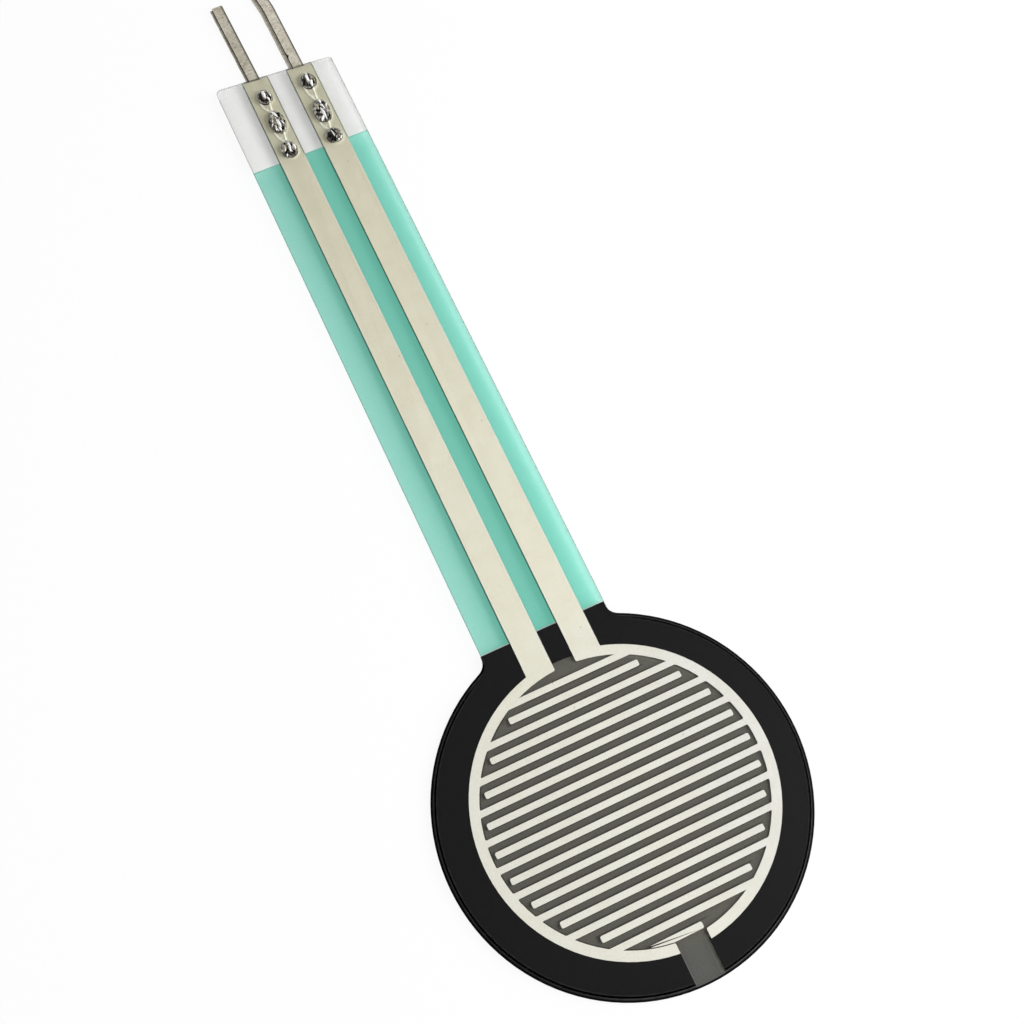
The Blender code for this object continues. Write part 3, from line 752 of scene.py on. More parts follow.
# %% [markdown]
# ## Where the contacts are crimped
#
# Near the end of the tail, teeth on each contact are pushed through the film from behind and curl over in
# front. There the film is pierced by small rough holes, it stands up in a lip around each one, and it is
# drawn into sharp creases between one hole and the next. First come the places and sizes of the holes,
# from which the rest follows.

# %% Holes in the film
CONTACT_MIDDLES = (-0.896, 1.644)
HOLE_PLACES = (
    ((0.02, 1.32, 0.78, 0.90), (0.03, 3.05, 0.90, 1.42), (-0.02, 4.88, 0.88, 0.98)),
    ((0.04, 1.33, 0.86, 0.97), (-0.01, 3.38, 0.90, 1.46), (0.01, 5.06, 0.90, 0.86)),
)
Hole = collections.namedtuple("Hole", "x y half_width half_length")


def holes_along(middle, places):
    """Holes under one another, from (shift, distance from the end, width, length)."""
    return [Hole(middle + at, TAIL_END - back, width / 2, length / 2) for at, back, width, length in places]


HOLES = [holes_along(middle, places) for middle, places in zip(CONTACT_MIDDLES, HOLE_PLACES)]
ALL_HOLES = HOLES[0] + HOLES[1]
print("holes:", [len(row) for row in HOLES])

# %% [markdown]
# ## Creases between the holes
#
# The lips and creases could be a bump in the material, but they are as high as the film is thick and show
# from the side, so they are real. The creases are narrow ridges between two points. Each gap between two
# holes has the same pair of crease paths, fitted to its length.

# %% Creases between the holes
CREASE_WIDTH = 0.05
CREASE_PATHS = (((-0.38, -0.28), (-0.29, 0.35), (-0.05, 0.97)), ((0.09, -0.12), (0.0, 0.98)))
CONTACT_REACH = 1.2
TENT_WIDTH = 0.2
TENT_SHIFT = 0.12
TENT_SHARE = 0.45
Gap = collections.namedtuple("Gap", "x y run lines")


def gaps_between(row):
    """The film between each hole and the next, with the lines of its creases."""
    for above, below in zip(row, row[1:]):
        top = above.y - above.half_length
        run = top - (below.y + below.half_length)
        paths = [[(above.x + x, top - share * run) for x, share in path] for path in CREASE_PATHS]
        lines = [line for path in paths for line in zip(path, path[1:])]
        yield Gap(above.x - TENT_SHIFT, top - TENT_SHARE * run, run, lines)


GAPS = [gap for row in HOLES for gap in gaps_between(row)]


def ridge(x, y, start, end):
    """How near a place is to a line, from 0 to 1 on it."""
    run = (end[0] - start[0], end[1] - start[1])
    share = ((x - start[0]) * run[0] + (y - start[1]) * run[1]) / (run[0] ** 2 + run[1] ** 2)
    near = min(max(share, 0.0), 1.0)
    distance = math.hypot(x - start[0] - near * run[0], y - start[1] - near * run[1])
    return math.exp(-((distance / CREASE_WIDTH) ** 2))


def creased(x, y):
    """How hard the film is creased at a place, from 0 to 1."""
    lines = [line for gap in GAPS for line in gap.lines if abs(x - gap.x) < CONTACT_REACH]
    return max((ridge(x, y, *line) for line in lines), default=0.0)


def tent(x, y):
    """The film between two creases is held up a little."""
    near = [gap for gap in GAPS if abs(x - gap.x) < CONTACT_REACH]
    spots = [((x - gap.x) / TENT_WIDTH, (y - gap.y) / (TENT_SHARE * gap.run)) for gap in near]
    return max([math.exp(-(across**2) - along**2) for across, along in spots], default=0.0)


print("crease lines:", sum(len(gap.lines) for gap in GAPS))

# %% [markdown]
# ## Puckered film
#
# One function gives the height of the film at any place: its lips, its creases, the film held up between
# them and a slight swell. Both the film and the ink bonded behind it follow it, so that they can't part.

# %% Puckered film
LIP_HEIGHT = 0.06
LIP_WIDTH = 0.08
RIM_OUTSIDE = 0.06
RIM_WIDTH = 0.035
CREASE_HEIGHT = 0.055
TENT_HEIGHT = 0.03
SWELL_HEIGHT = 0.02
SWELL_SCALE = 1.6


def around(x, y, hole):
    """How far outside a hole's ellipse a place lies, and in which direction."""
    across = (x - hole.x) / hole.half_width
    along = (y - hole.y) / hole.half_length
    return (math.hypot(across, along) - 1.0) * hole.half_width, math.atan2(along, across)


def lip(x, y, hole):
    """The height of the ragged lip that stands around a hole."""
    outside, turn = around(x, y, hole)
    ragged = 0.8 + 0.5 * noise.noise(Vector((1.6 * math.cos(turn), 1.6 * math.sin(turn), hole.x + hole.y)))
    return LIP_HEIGHT * ragged * math.exp(-((max(outside, 0.0) / LIP_WIDTH) ** 2))


def rim(x, y, hole):
    """How near a place is to the crest of the lip, on the side of a hole that faces the lamp."""
    outside, turn = around(x, y, hole)
    return max(math.cos(turn + 0.9), 0.0) * math.exp(-(((outside - RIM_OUTSIDE) / RIM_WIDTH) ** 2))


def pucker(x, y):
    """How far the film is raised at a place on the tail, in millimetres."""
    row = min(HOLES, key=lambda holes: abs(x - holes[0].x))
    away = abs(x - row[0].x)
    if away > CONTACT_REACH:
        return 0.0
    fade = 1.0 - (away / CONTACT_REACH) ** 4
    raised = max(lip(x, y, hole) for hole in row) + CREASE_HEIGHT * creased(x, y) + TENT_HEIGHT * tent(x, y)
    raised += SWELL_HEIGHT * (0.5 + noise.noise(Vector((x * SWELL_SCALE, y * SWELL_SCALE, 0.0))))
    return raised * fade


print("film stands up to", round(max(pucker(hole.x + hole.half_width, hole.y) for hole in HOLES[0]), 3), "mm")

# %% [markdown]
# ## A cutter for the holes
#
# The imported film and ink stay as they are, and copies take their place. The holes could be drawn into a
# new outline, but a Boolean cuts them into both sheets alike. Its cutter has one upright prism for each
# hole, with a rough outline, as torn film has.

# %% A cutter for the holes
HOLE_CORNERS = 44
HOLE_DEPTHS = (0.25, 0.6)
HOLE_ROUGHNESS = 0.10


def hole_outline(hole):
    """A rough ellipse."""
    for i in range(HOLE_CORNERS):
        turn = 2.0 * math.pi * i / HOLE_CORNERS
        spot = Vector((2.4 * math.cos(turn), 2.4 * math.sin(turn), 3.0 * hole.y))
        reach = 1.0 + HOLE_ROUGHNESS * noise.noise(spot)
        x = hole.x + hole.half_width * reach * math.cos(turn)
        yield x, hole.y + hole.half_length * reach * math.sin(turn)


def bridge(shape, near, far):
    """Faces between two rings with as many corners."""
    for i in range(len(near)):
        j = (i + 1) % len(near)
        shape.faces.new((near[i], near[j], far[j], far[i]))


shape = bmesh.new()
for hole in ALL_HOLES:
    low, high = [
        [shape.verts.new((x * MM, y * MM, z * MM)) for x, y in hole_outline(hole)] for z in HOLE_DEPTHS
    ]
    shape.faces.new(reversed(low))
    shape.faces.new(high)
    bridge(shape, low, high)
cutter = new_object("hole_cutter", to_mesh(shape, "hole_cutter"))
print("cutter has", len(cutter.data.polygons), "faces")

# %% [markdown]
# ## Helpers for cut sheets
#
# A flat face can't bend, so the end of each sheet is cut along a fine grid before it is raised. Cutting
# only the end keeps the rest of the mesh as light as it was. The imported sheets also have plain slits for
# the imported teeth, which are closed first.

# %% Helpers for cut sheets
GRID_FROM = 37.9
GRID_STEP = 0.045
SLIT_REACH = 0.55
SLANT = 0.068
SLANT_MIDDLE = -1.25
SLANT_FROM = 42.9
MERGE_DISTANCE = 1e-8
CUT_DISTANCE = 1e-9


def share_between(value, low, high):
    """How far a value is on the way from low to high, from 0 to 1."""
    return min(max((value - low) / (high - low), 0.0), 1.0)


def plug_slits(shape):
    """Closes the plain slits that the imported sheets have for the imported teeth."""
    def beside_tooth(face):
        x, y, z = face.calc_center_median() / MM
        return y > GRID_FROM and min(abs(x - middle) for middle in CONTACT_MIDDLES) < SLIT_REACH

    walls = [f for f in shape.faces if abs(f.normal.z) < 0.5 and beside_tooth(f)]
    bmesh.ops.delete(shape, geom=walls, context="FACES")
    bmesh.ops.holes_fill(shape, edges=[e for e in shape.edges if e.is_boundary])


def slice_faces(shape, faces, axis, low, high):
    """Cuts faces along evenly spaced parallel lines, one after another, and returns all of them."""
    done, ahead = [], list(faces)
    normal = Vector((axis == 0, axis == 1, 0.0))
    count = math.ceil((high - low) / GRID_STEP)
    for i in range(count + 1):
        place = low + (high - low) * i / count
        corners = {v for f in ahead for v in f.verts}
        edges = {e for f in ahead for e in f.edges}
        geom = [*corners, *edges, *ahead]
        where = normal * place * MM
        cut = bmesh.ops.bisect_plane(shape, geom=geom, dist=CUT_DISTANCE, plane_co=where, plane_no=normal)
        pieces = [item for item in cut["geom"] if isinstance(item, bmesh.types.BMFace)]
        ahead = [f for f in pieces if f.calc_center_median()[axis] > place * MM]
        done += [f for f in pieces if f.calc_center_median()[axis] <= place * MM]
    return done + ahead


def end_slant(x, y):
    """The last cut across the tail isn't quite square, so its right corner lies lower."""
    return -SLANT * (x - SLANT_MIDDLE) * share_between(y, SLANT_FROM, TAIL_END)


def merge_and_simplify(shape):
    """Joins doubled corners, and joins flat faces that only the packing split."""
    bmesh.ops.remove_doubles(shape, verts=shape.verts, dist=MERGE_DISTANCE)
    bmesh.ops.dissolve_limit(shape, angle_limit=0.01, verts=shape.verts, edges=shape.edges)


print("tail's end slants by", round(math.degrees(math.atan(SLANT)), 1), "degrees")

# %% [markdown]
# ## Rounded corners, and pieces in their places
#
# Ink flows a little before it dries, so its corners are rounded by a small bevel. A modifier could do it,
# but only the upright corners near the ring are wanted. Each new piece also rides on the part's body, and
# hides the imported node that it stands for.

# %% Rounded corners, and pieces in their places
CORNER_SEGMENTS = 3
CORNER_ANGLES = (0.6, 2.2)


def round_corners(shape, radius, reach):
    """Rounds the upright corners of a sheet that lie within reach of the ring's middle."""
    upright = []
    for edge in shape.edges:
        low, high = (v.co / MM for v in edge.verts)
        near = math.hypot(low.x - RING_MIDDLE[0], low.y - RING_MIDDLE[1]) < reach
        angle = edge.calc_face_angle(0.0)
        if near and (high - low).normalized().z ** 2 > 0.9 and CORNER_ANGLES[0] < angle < CORNER_ANGLES[1]:
            upright.append(edge)
    bmesh.ops.bevel(
        shape, geom=upright, offset=radius * MM, segments=CORNER_SEGMENTS, affect="EDGES", profile=0.5
    )


def add_piece(name, mesh, node=None):
    """A new piece on the part's one body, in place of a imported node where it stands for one."""
    made = new_object(name, mesh)
    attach(made, "root")
    if node:
        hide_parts(node)
    print(made.name, len(mesh.polygons), "faces")
    return made


print("corners are rounded in", CORNER_SEGMENTS, "segments")

# %% [markdown]
# ## Pierce and crease the film and the ink
#
# Now each sheet is copied, plugged, pierced and cut along the grid, and every corner of its end is raised
# by the height that the function gives. Two attributes tell the finishes about it: lift is how far a
# place was raised, so that the film's front and rear can still be told apart, and the other is how much
# painted highlight the ink gets on the creases, on the film held up between them and on the lamp side of
# each lip.

# %% Pierce and crease
INK_CORNER = 0.07
GRID_MARGIN = 0.16
HIGHLIGHT_AT_TENT = 0.34
HIGHLIGHT_AT_RIM = 0.4
HIGHLIGHT_NOISE_SCALE = 7.0
SHEET_SMOOTH = 50.0


def pierced(node):
    """A packed sheet as a bmesh, with its slits plugged and the holes cut."""
    mesh = frame["nodes"][node].data.copy()
    sent_normals = mesh.attributes.get("custom_normal")
    if sent_normals:
        mesh.attributes.remove(sent_normals)
    shape = bmesh.new()
    shape.from_mesh(mesh)
    bmesh.ops.remove_doubles(shape, verts=shape.verts, dist=MERGE_DISTANCE)
    plug_slits(shape)
    shape.to_mesh(mesh)
    shape.clear()
    uncut = new_object("uncut", mesh)
    cut = uncut.modifiers.new("holes", "BOOLEAN")
    cut.object = cutter
    cut.solver = "EXACT"
    bpy.context.view_layer.update()
    shape.from_mesh(uncut.evaluated_get(bpy.context.evaluated_depsgraph_get()).to_mesh())
    bpy.data.objects.remove(uncut)
    return shape


def raise_end(shape):
    """Lifts the corners past the coat, and notes their lift and their painted highlight."""
    painted_highlight = shape.verts.layers.float.new("painted_highlight")
    lift = shape.verts.layers.float.new("lift")
    for v in shape.verts:
        if v.co.y > GRID_FROM * MM:
            x, y = v.co.x / MM, v.co.y / MM
            v[lift] = pucker(x, y)
            rough = 0.85 + 0.6 * noise.noise(Vector((x * HIGHLIGHT_NOISE_SCALE, y * HIGHLIGHT_NOISE_SCALE, 2.0)))
            rims = max(rim(x, y, hole) for hole in ALL_HOLES)
            # Painted highlight on the creases, on the film held up between them and on the lamp side of each
            # lip.
            v[painted_highlight] = rough * max(creased(x, y), HIGHLIGHT_AT_TENT * tent(x, y), HIGHLIGHT_AT_RIM * rims)
            v.co.z += v[lift] * MM
            v.co.y += end_slant(x, y) * MM


def crimped_copy(node, slot):
    """A copy of a packed sheet with its holes cut and its end puckered, in the sheet's place."""
    shape = pierced(node)
    merge_and_simplify(shape)
    if slot == "silver_print":
        round_corners(shape, INK_CORNER, RING_INNER + 0.04)
    end = slice_faces(shape, shape.faces, 1, GRID_FROM, TAIL_END)
    end = [f for f in end if f.calc_center_median().y > GRID_FROM * MM]
    for middle in TRACK_MIDDLES:
        end = slice_faces(shape, end, 0, middle - TRACK_HALF - GRID_MARGIN, middle + TRACK_HALF + GRID_MARGIN)
    raise_end(shape)
    bmesh.ops.triangulate(shape, faces=[f for f in shape.faces if len(f.verts) > 4])
    mesh = to_mesh(shape, node + "_crimped", FINISHES[slot])
    mesh.shade_smooth()
    mesh.set_sharp_from_angle(angle=math.radians(SHEET_SMOOTH))
    return add_piece(node + "_crimped", mesh, node)


crimped_film = crimped_copy("front_film", "clear_film")
crimped_copy("silver_tracks", "silver_print")
bpy.data.objects.remove(cutter)
print("box of the film:", [round(c / MM, 2) for c in crimped_film.dimensions])

# %% [markdown]
# ## Rounded fingers
#
# The corners of the free fingers are rounded too, in copies that take their place. Those of the fingers
# that join the ring were rounded with the tracks.

# %% Rounded fingers
FINGER_CORNER = 0.08


def rounded_finger(node):
    """A copy of a free finger with rounded corners, in its place."""
    shape = bmesh.new()
    shape.from_mesh(frame["nodes"][node].data)
    merge_and_simplify(shape)
    round_corners(shape, FINGER_CORNER, RING_INNER)
    name = node + "_rounded"
    return add_piece(name, to_mesh(shape, name, FINISHES["silver_print"]), node)


fingers = [rounded_finger(part["node"]) for part in frame["record"]["subparts"] if "finger" in part["node"]]
print("rounded", len(fingers), "fingers")

# %% [markdown]
# ## Contacts
#
# Each contact is stamped from one tinned sheet: a flat body behind the ink, a solder tab that is folded
# over on itself, and teeth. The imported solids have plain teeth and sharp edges, so each contact is
# modelled anew in their place. Everything is drawn point by point in a bmesh, since a curve's bevel could
# not have worn edges.

# %% The body of a contact
BODY_LOW = 0.172
BODY_TOP = 0.312
BODY_HALF = TRACK_HALF - 0.11
BODY_PAST_TEETH = 0.4
BODY_BEVEL = 0.02
TAB_ROOT = 0.6
Contact = collections.namedtuple("Contact", "name middle holes leaf_step lean tip_bend nick")
CONTACTS = (
    Contact("left_contact", CONTACT_MIDDLES[0], HOLES[0], 0.14, 1.5, 0.0, None),
    Contact("right_contact", CONTACT_MIDDLES[1], HOLES[1], 0.22, 1.0, 6.0, 1.35),
)


def add_body(shape, contact):
    """The flat body, with slightly rounded edges."""
    low = contact.holes[-1].y - BODY_PAST_TEETH
    high = TAIL_END - TAB_ROOT / 2
    size = Vector((2 * BODY_HALF, high - low, BODY_TOP - BODY_LOW)) * MM
    centre = Vector((contact.middle, (low + high) / 2, (BODY_LOW + BODY_TOP) / 2)) * MM
    made = bmesh.ops.create_cube(shape, size=1.0, matrix=Matrix.LocRotScale(centre, None, size))
    edges = {e for v in made["verts"] for e in v.link_edges}
    bmesh.ops.bevel(shape, geom=list(edges), offset=BODY_BEVEL * MM, segments=2, affect="EDGES", profile=0.5)


print("contacts:", [contact.name for contact in CONTACTS])

# %% [markdown]
# ## The section of a folded tab
#
# A tab is a long strip folded along its middle, so its section is a narrow U on its side: a lower leaf, a
# fold on the right, and an upper leaf that ends short of the lower one. Each point also says how worn the
# metal is there, and how much painted shade it gets in the fold and the gap.

# %% The section of a folded tab
SHEET = 0.14
LEAF_GAP = 0.02
TAB_WIDTH = 0.61
CHAMFER = 0.014
FOLD_STEPS = 8
FACE_STEPS = 7
EDGE_WEAR = 0.012
FACE_WEAR = 0.007
NICK_DEPTH = 0.07
NICK_LENGTH = 0.11


def arc(centre, radius, start, stop, count):
    """Points on an arc from one angle to another."""
    for i in range(count + 1):
        turn = math.radians(start + (stop - start) * i / count)
        yield centre[0] + radius * math.cos(turn), centre[1] + radius * math.sin(turn)


def fold_outline(leaf_step):
    """The section, as (across, up, painted shade) from the tab's middle at the top of the body; below 0 is
    wear.
    """
    turn = SHEET + LEAF_GAP / 2
    fold = (TAB_WIDTH / 2 - turn, -turn)
    upper = -TAB_WIDTH / 2
    lower = upper - leaf_step
    under = -SHEET - LEAF_GAP
    run = fold[0] - upper - CHAMFER
    bend = arc(fold, turn, 90.0, -90.0, FOLD_STEPS)
    points = [(upper, -CHAMFER, -0.6), (upper + CHAMFER, 0.0, -0.7)]
    points += [(upper + CHAMFER + run * i / FACE_STEPS, 0.0, 0.0) for i in range(1, FACE_STEPS)]
    points += [(*spot, min(1.0, 0.25 + 0.4 * i)) for i, spot in enumerate(bend)]
    points += [(lower + CHAMFER, -2 * turn, 0.3), (lower, -2 * turn + CHAMFER, 0.5)]
    points += [(lower, under - CHAMFER, 0.5), (lower + CHAMFER, under, -0.2)]
    points += [(lower + 0.35 * leaf_step, under, 0.1), (lower + 0.5 * leaf_step, under, 0.5)]
    points += [(lower + 0.62 * leaf_step, under, 0.0)]
    points += [(upper - 0.045, under, 0.2), (upper - 0.015, under, 1.0)]
    points += [(*spot, 1.0) for spot in arc(fold, LEAF_GAP / 2, -90.0, 90.0, FOLD_STEPS // 2)]
    return points + [(upper + CHAMFER, -SHEET, 1.0), (upper, -SHEET + CHAMFER, 1.0)]


def worn(contact, across, up, along):
    """A point of the section after wear: edges wander, the face is hammered, and one tab has a nick."""
    seed = contact.middle * 7.0 + (3.0 if up < -SHEET / 2 - 0.02 else 0.0)
    if across < -TAB_WIDTH / 2 + 2 * CHAMFER:
        across += EDGE_WEAR * noise.noise(Vector((seed, along * 2.6, 0.0)))
        if contact.nick and up > -SHEET - 0.01:
            across += NICK_DEPTH * math.exp(-(((along - contact.nick) / NICK_LENGTH) ** 2))
    if up > -0.02:
        up -= FACE_WEAR * abs(noise.noise(Vector((across * 5.0 + seed, along * 4.0, 1.0))))
    return across, up


print("tab section has", len(fold_outline(CONTACTS[0].leaf_step)), "points")

# %% [markdown]
# ## Folded tabs
#
# The section is carried along the tab's line, which leans a little and may bend near its tip. Each
# station wears the section in its own way, which gives the rolled metal its uneven edges and hammered
# face. The root gets painted shade where the tab comes out from under the film.

# %% Folded tabs
TAB_LENGTH = 5.3
TAB_SHIFT = -0.04
STATION_STEP = 0.08
TIP_BEND_PLACE = 1.15
TIP_BEND_HALF = 0.2
ROOT_SHADE = 0.14


def add_tab(shape, contact):
    """Carries the section along the tab's line."""
    outline = fold_outline(contact.leaf_step)
    length = TAB_ROOT + TAB_LENGTH
    count = round(length / STATION_STEP)
    x, y = contact.middle + TAB_SHIFT, TAIL_END - TAB_ROOT
    shade_and_wear = shape.verts.layers.float.new("shade_and_wear")
    bare_from = TAB_ROOT + end_slant(contact.middle, TAIL_END) - 0.04
    bend_middle = length - TIP_BEND_PLACE
    rings = []
    for i in range(count + 1):
        along = length * i / count
        shaded = 1.0 - share_between(along, bare_from, bare_from + ROOT_SHADE)
        bent = share_between(along, bend_middle - TIP_BEND_HALF, bend_middle + TIP_BEND_HALF)
        turn = math.radians(contact.lean + contact.tip_bend * bent * bent * (3.0 - 2.0 * bent))
        if i:
            x -= math.sin(turn) * length / count
            y += math.cos(turn) * length / count
        ring = []
        for across, up, shade_and_wear_at in outline:
            across, up = worn(contact, across, up, along)
            spot = (x + across * math.cos(turn), y + across * math.sin(turn), BODY_TOP + up)
            ring.append(shape.verts.new(Vector(spot) * MM))
            # Painted shade at the root, where the tab comes out from under the film.
            ring[-1][shade_and_wear] = max(shade_and_wear_at, 0.9 * shaded)
        rings.append(ring)
    for near, far in zip(rings, rings[1:]):
        bridge(shape, near, far)
    ends = [shape.faces.new(rings[0][::-1]), shape.faces.new(rings[-1])]
    bmesh.ops.triangulate(shape, faces=ends)


print("a tab has", round((TAB_ROOT + TAB_LENGTH) / STATION_STEP), "stations")

# %% [markdown]
# ## Closed strips
#
# Teeth, splinters and flaps of film are all narrow strips with two layers that close at their sides and
# ends. One builder makes the faces, and each kind only says where its corners lie.

# %% Closed strips
TINNED, SHEEN_MATERIAL = 0, 1


def add_strip(shape, steps, lanes, corner, material=TINNED):
    """corner(layer, share along, lane from -1 to 1) gives a place in millimetres, and its painted sheen."""
    polish = shape.verts.layers.float.get("polish")
    corners = {}
    for layer in (0, 1):
        for i in range(steps + 1):
            for j in range(lanes + 1):
                place, shine = corner(layer, i / steps, 2.0 * j / lanes - 1.0)
                made = shape.verts.new(Vector(place) * MM)
                if polish:
                    made[polish] = shine
                corners[layer, i, j] = made
    quads = []
    for i in range(steps):
        for j in range(lanes):
            quads.append(((0, i, j), (0, i, j + 1), (0, i + 1, j + 1), (0, i + 1, j)))
            quads.append(((1, i, j), (1, i + 1, j), (1, i + 1, j + 1), (1, i, j + 1)))
        quads += [((0, i, j), (0, i + 1, j), (1, i + 1, j), (1, i, j)) for j in (0, lanes)]
    for i in (0, steps):
        quads += [((0, i, j), (0, i, j + 1), (1, i, j + 1), (1, i, j)) for j in range(lanes)]
    for quad in quads:
        shape.faces.new([corners[c] for c in quad]).material_index = material


print("a strip of 8 steps and 2 lanes has", 8 * (2 * 2 + 2) + 2 * 2, "faces")

# %% [markdown]
# ## Teeth
#
# A tooth comes up through the film, curls over towards the middle of the hole and narrows to its tip. A
# hook cut from a torus would be too even: on the real part no two are alike. So each is a strip on a bent
# line, bowed across its width, and a seeded random generator gives it its own lean, width and height.

# %% Teeth
TOOTH_HALF_WIDTH = 0.24
TOOTH_TIP_HALF_WIDTH = 0.18
TOOTH_SHEET = 0.10
TOOTH_TIP_SHEET = 0.045
TOOTH_LEG = 0.31
TOOTH_LEG_SHARE = 0.22
TOOTH_FOOT = BODY_TOP - 0.03
TOOTH_CURL = (0.16, 0.08)
TOOTH_CURL_LEVEL = 0.52
TOOTH_CURL_END = 200.0
TOOTH_BOW = 0.05
TOOTH_DENT = 0.022
TOOTH_RINGS = 14
TOOTH_LANES = 6
DOUBLE_ROW_PITCH = 0.56
TOOTH_LEANS = (-0.10, 0.10)
TOOTH_HEIGHTS = (0.75, 1.15)
TOOTH_WIDTHS = (0.9, 1.08)
TOOTH_SHINES = (-0.6, -0.1)


def tooth_rows(hole):
    """A long hole holds two pairs of teeth, and a round one holds one pair."""
    if hole.half_length > 1.3 * hole.half_width:
        return hole.y - DOUBLE_ROW_PITCH / 2, hole.y + DOUBLE_ROW_PITCH / 2
    return (hole.y,)


def tooth_line(share, height):
    """A place and its outward direction on the line of a tooth, from its foot to its tip."""
    if share < TOOTH_LEG_SHARE:
        rise = TOOTH_FOOT + (TOOTH_CURL_LEVEL - TOOTH_FOOT) * share / TOOTH_LEG_SHARE
        return (TOOTH_LEG, rise), (1.0, 0.0)
    turn = math.radians(TOOTH_CURL_END * (share - TOOTH_LEG_SHARE) / (1.0 - TOOTH_LEG_SHARE))
    across = TOOTH_LEG - TOOTH_CURL[0] * (1.0 - math.cos(turn))
    return (across, TOOTH_CURL_LEVEL + height * math.sin(turn)), (math.cos(turn), math.sin(turn))


def add_tooth(shape, x, y, side, chance):
    """One tooth, on the left or the right of a hole."""
    lean = chance.uniform(*TOOTH_LEANS)
    height = TOOTH_CURL[1] * chance.uniform(*TOOTH_HEIGHTS)
    half = TOOTH_HALF_WIDTH * chance.uniform(*TOOTH_WIDTHS)
    shine = chance.uniform(*TOOTH_SHINES)

    def corner(layer, share, lane):
        (across, up), (out_across, out_up) = tooth_line(share, height)
        width = half + (TOOTH_TIP_HALF_WIDTH - half) * share**1.3
        sheet = TOOTH_SHEET + (TOOTH_TIP_SHEET - TOOTH_SHEET) * share
        inset = layer * sheet + TOOTH_BOW * lane * lane * share
        inset += TOOTH_DENT * noise.noise(Vector((x * 9.0 + share * 2.4, y * 9.0 + lane * 1.3, side)))
        along = y + lane * width + lean * (share - 0.3)
        place = (x + side * (across - inset * out_across), along, up - inset * out_up)
        # Painted sheen: brighter towards the tip and with this tooth's own shine, darker at the sides.
        return place, share + shine - 0.15 * lane * lane

    add_strip(shape, TOOTH_RINGS, TOOTH_LANES, corner, SHEEN_MATERIAL)


print("teeth:", 2 * sum(len(tooth_rows(hole)) for hole in ALL_HOLES))

# %% [markdown]
# ## Splinters
#
# Crimping also tears narrow leaves from the metal, which lie along the tail on top of the teeth and catch
# the light. The larger ones differ from hole to hole, so a table gives each one its place, length, width,
# turn and how bright it is painted, from painted shade to painted highlight. Smaller ones are strewn
# between them by the same random generator.

# %% Table of splinters
Splinter = collections.namedtuple("Splinter", "x y length width turn polish")
SPLINTERS = (
    (
        (-0.03, 0.09, 0.54, 0.18, -4, 1.0), (0.10, -0.24, 0.28, 0.13, -15, 0.9),
        (-0.24, -0.02, 0.50, 0.17, 8, 0.0), (0.26, 0.05, 0.46, 0.13, -12, 0.6),
    ),
    (
        (0.03, -0.18, 0.68, 0.17, -5, 1.0), (0.02, 0.44, 0.52, 0.14, -26, 1.0),
        (-0.22, 0.22, 0.55, 0.18, 10, 0.4), (0.28, 0.05, 0.60, 0.14, 4, 0.3),
        (-0.20, -0.34, 0.45, 0.16, 14, 0.6), (0.20, -0.45, 0.35, 0.12, -14, 0.2),
    ),
    (
        (0.05, 0.02, 0.68, 0.13, 10, 1.0), (0.30, 0.02, 0.40, 0.13, -8, 1.0),
        (-0.22, 0.12, 0.52, 0.24, 6, 0.5), (-0.12, -0.28, 0.34, 0.14, -20, 0.1),
    ),
    (
        (-0.01, 0.15, 0.48, 0.15, -2, 1.0), (-0.22, 0.0, 0.56, 0.20, 10, 0.05),
        (0.24, 0.0, 0.52, 0.17, -14, 0.35), (0.09, -0.24, 0.44, 0.15, 6, 1.0),
    ),
    (
        (0.0, -0.24, 0.80, 0.15, -4, 1.0), (0.08, 0.56, 0.28, 0.13, -10, 0.95),
        (-0.16, 0.28, 0.48, 0.24, -12, 0.5), (0.26, -0.05, 0.60, 0.16, 6, 0.45),
        (-0.26, -0.22, 0.42, 0.13, 8, 0.25), (0.10, 0.18, 0.36, 0.12, -30, 0.85),
    ),
    (
        (-0.05, 0.06, 0.46, 0.09, -8, 0.85), (0.16, 0.0, 0.50, 0.18, -18, 0.3),
        (-0.24, -0.04, 0.44, 0.17, 12, 0.1), (0.06, -0.22, 0.28, 0.08, 30, 0.7),
    ),
)
# The scraps at the last hole get less painted sheen.
SCRAPS_LESS_SHEEN_BY = (0.0, 0.0, 0.0, 0.0, 0.0, 0.3)
print("splinters:", sum(len(rows) for rows in SPLINTERS))

# %% [markdown]
# Each splinter is a strip with a ridge along its middle, like a roof, so that its two sides catch the lamp
# differently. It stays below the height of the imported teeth, which keeps the part's size.

# %% Splinters and scraps
SPLINTER_STEPS = 8
SPLINTER_SHEET = 0.02
SPLINTER_LEVEL = 0.655
SPLINTER_ARCH = 0.06
SPLINTER_ROOF = 0.5
SPLINTER_TILT = 0.35
SPLINTER_POINT = 0.04
SPLINTER_ROUGHNESS = 0.02
HIGHEST = 0.75
SCRAP_COUNT = 15
SCRAP_COUNT_FOR = 0.45
SCRAP_SPREAD = 0.80
SCRAP_LENGTHS = (0.20, 0.40)
SCRAP_WIDTHS = (0.07, 0.13)
SCRAP_TURNS = (-35.0, 35.0)
SCRAP_LEVEL = 0.605
# How bright the scraps are painted, from painted shade to painted highlight.
SCRAP_TONES = (-0.3, -0.3, 0.0, 0.0, 0.3, 0.45, 0.6, 1.0, 1.0)


def scrap_count(hole):
    """More scraps for a longer hole."""
    return round(SCRAP_COUNT * hole.half_length / SCRAP_COUNT_FOR)


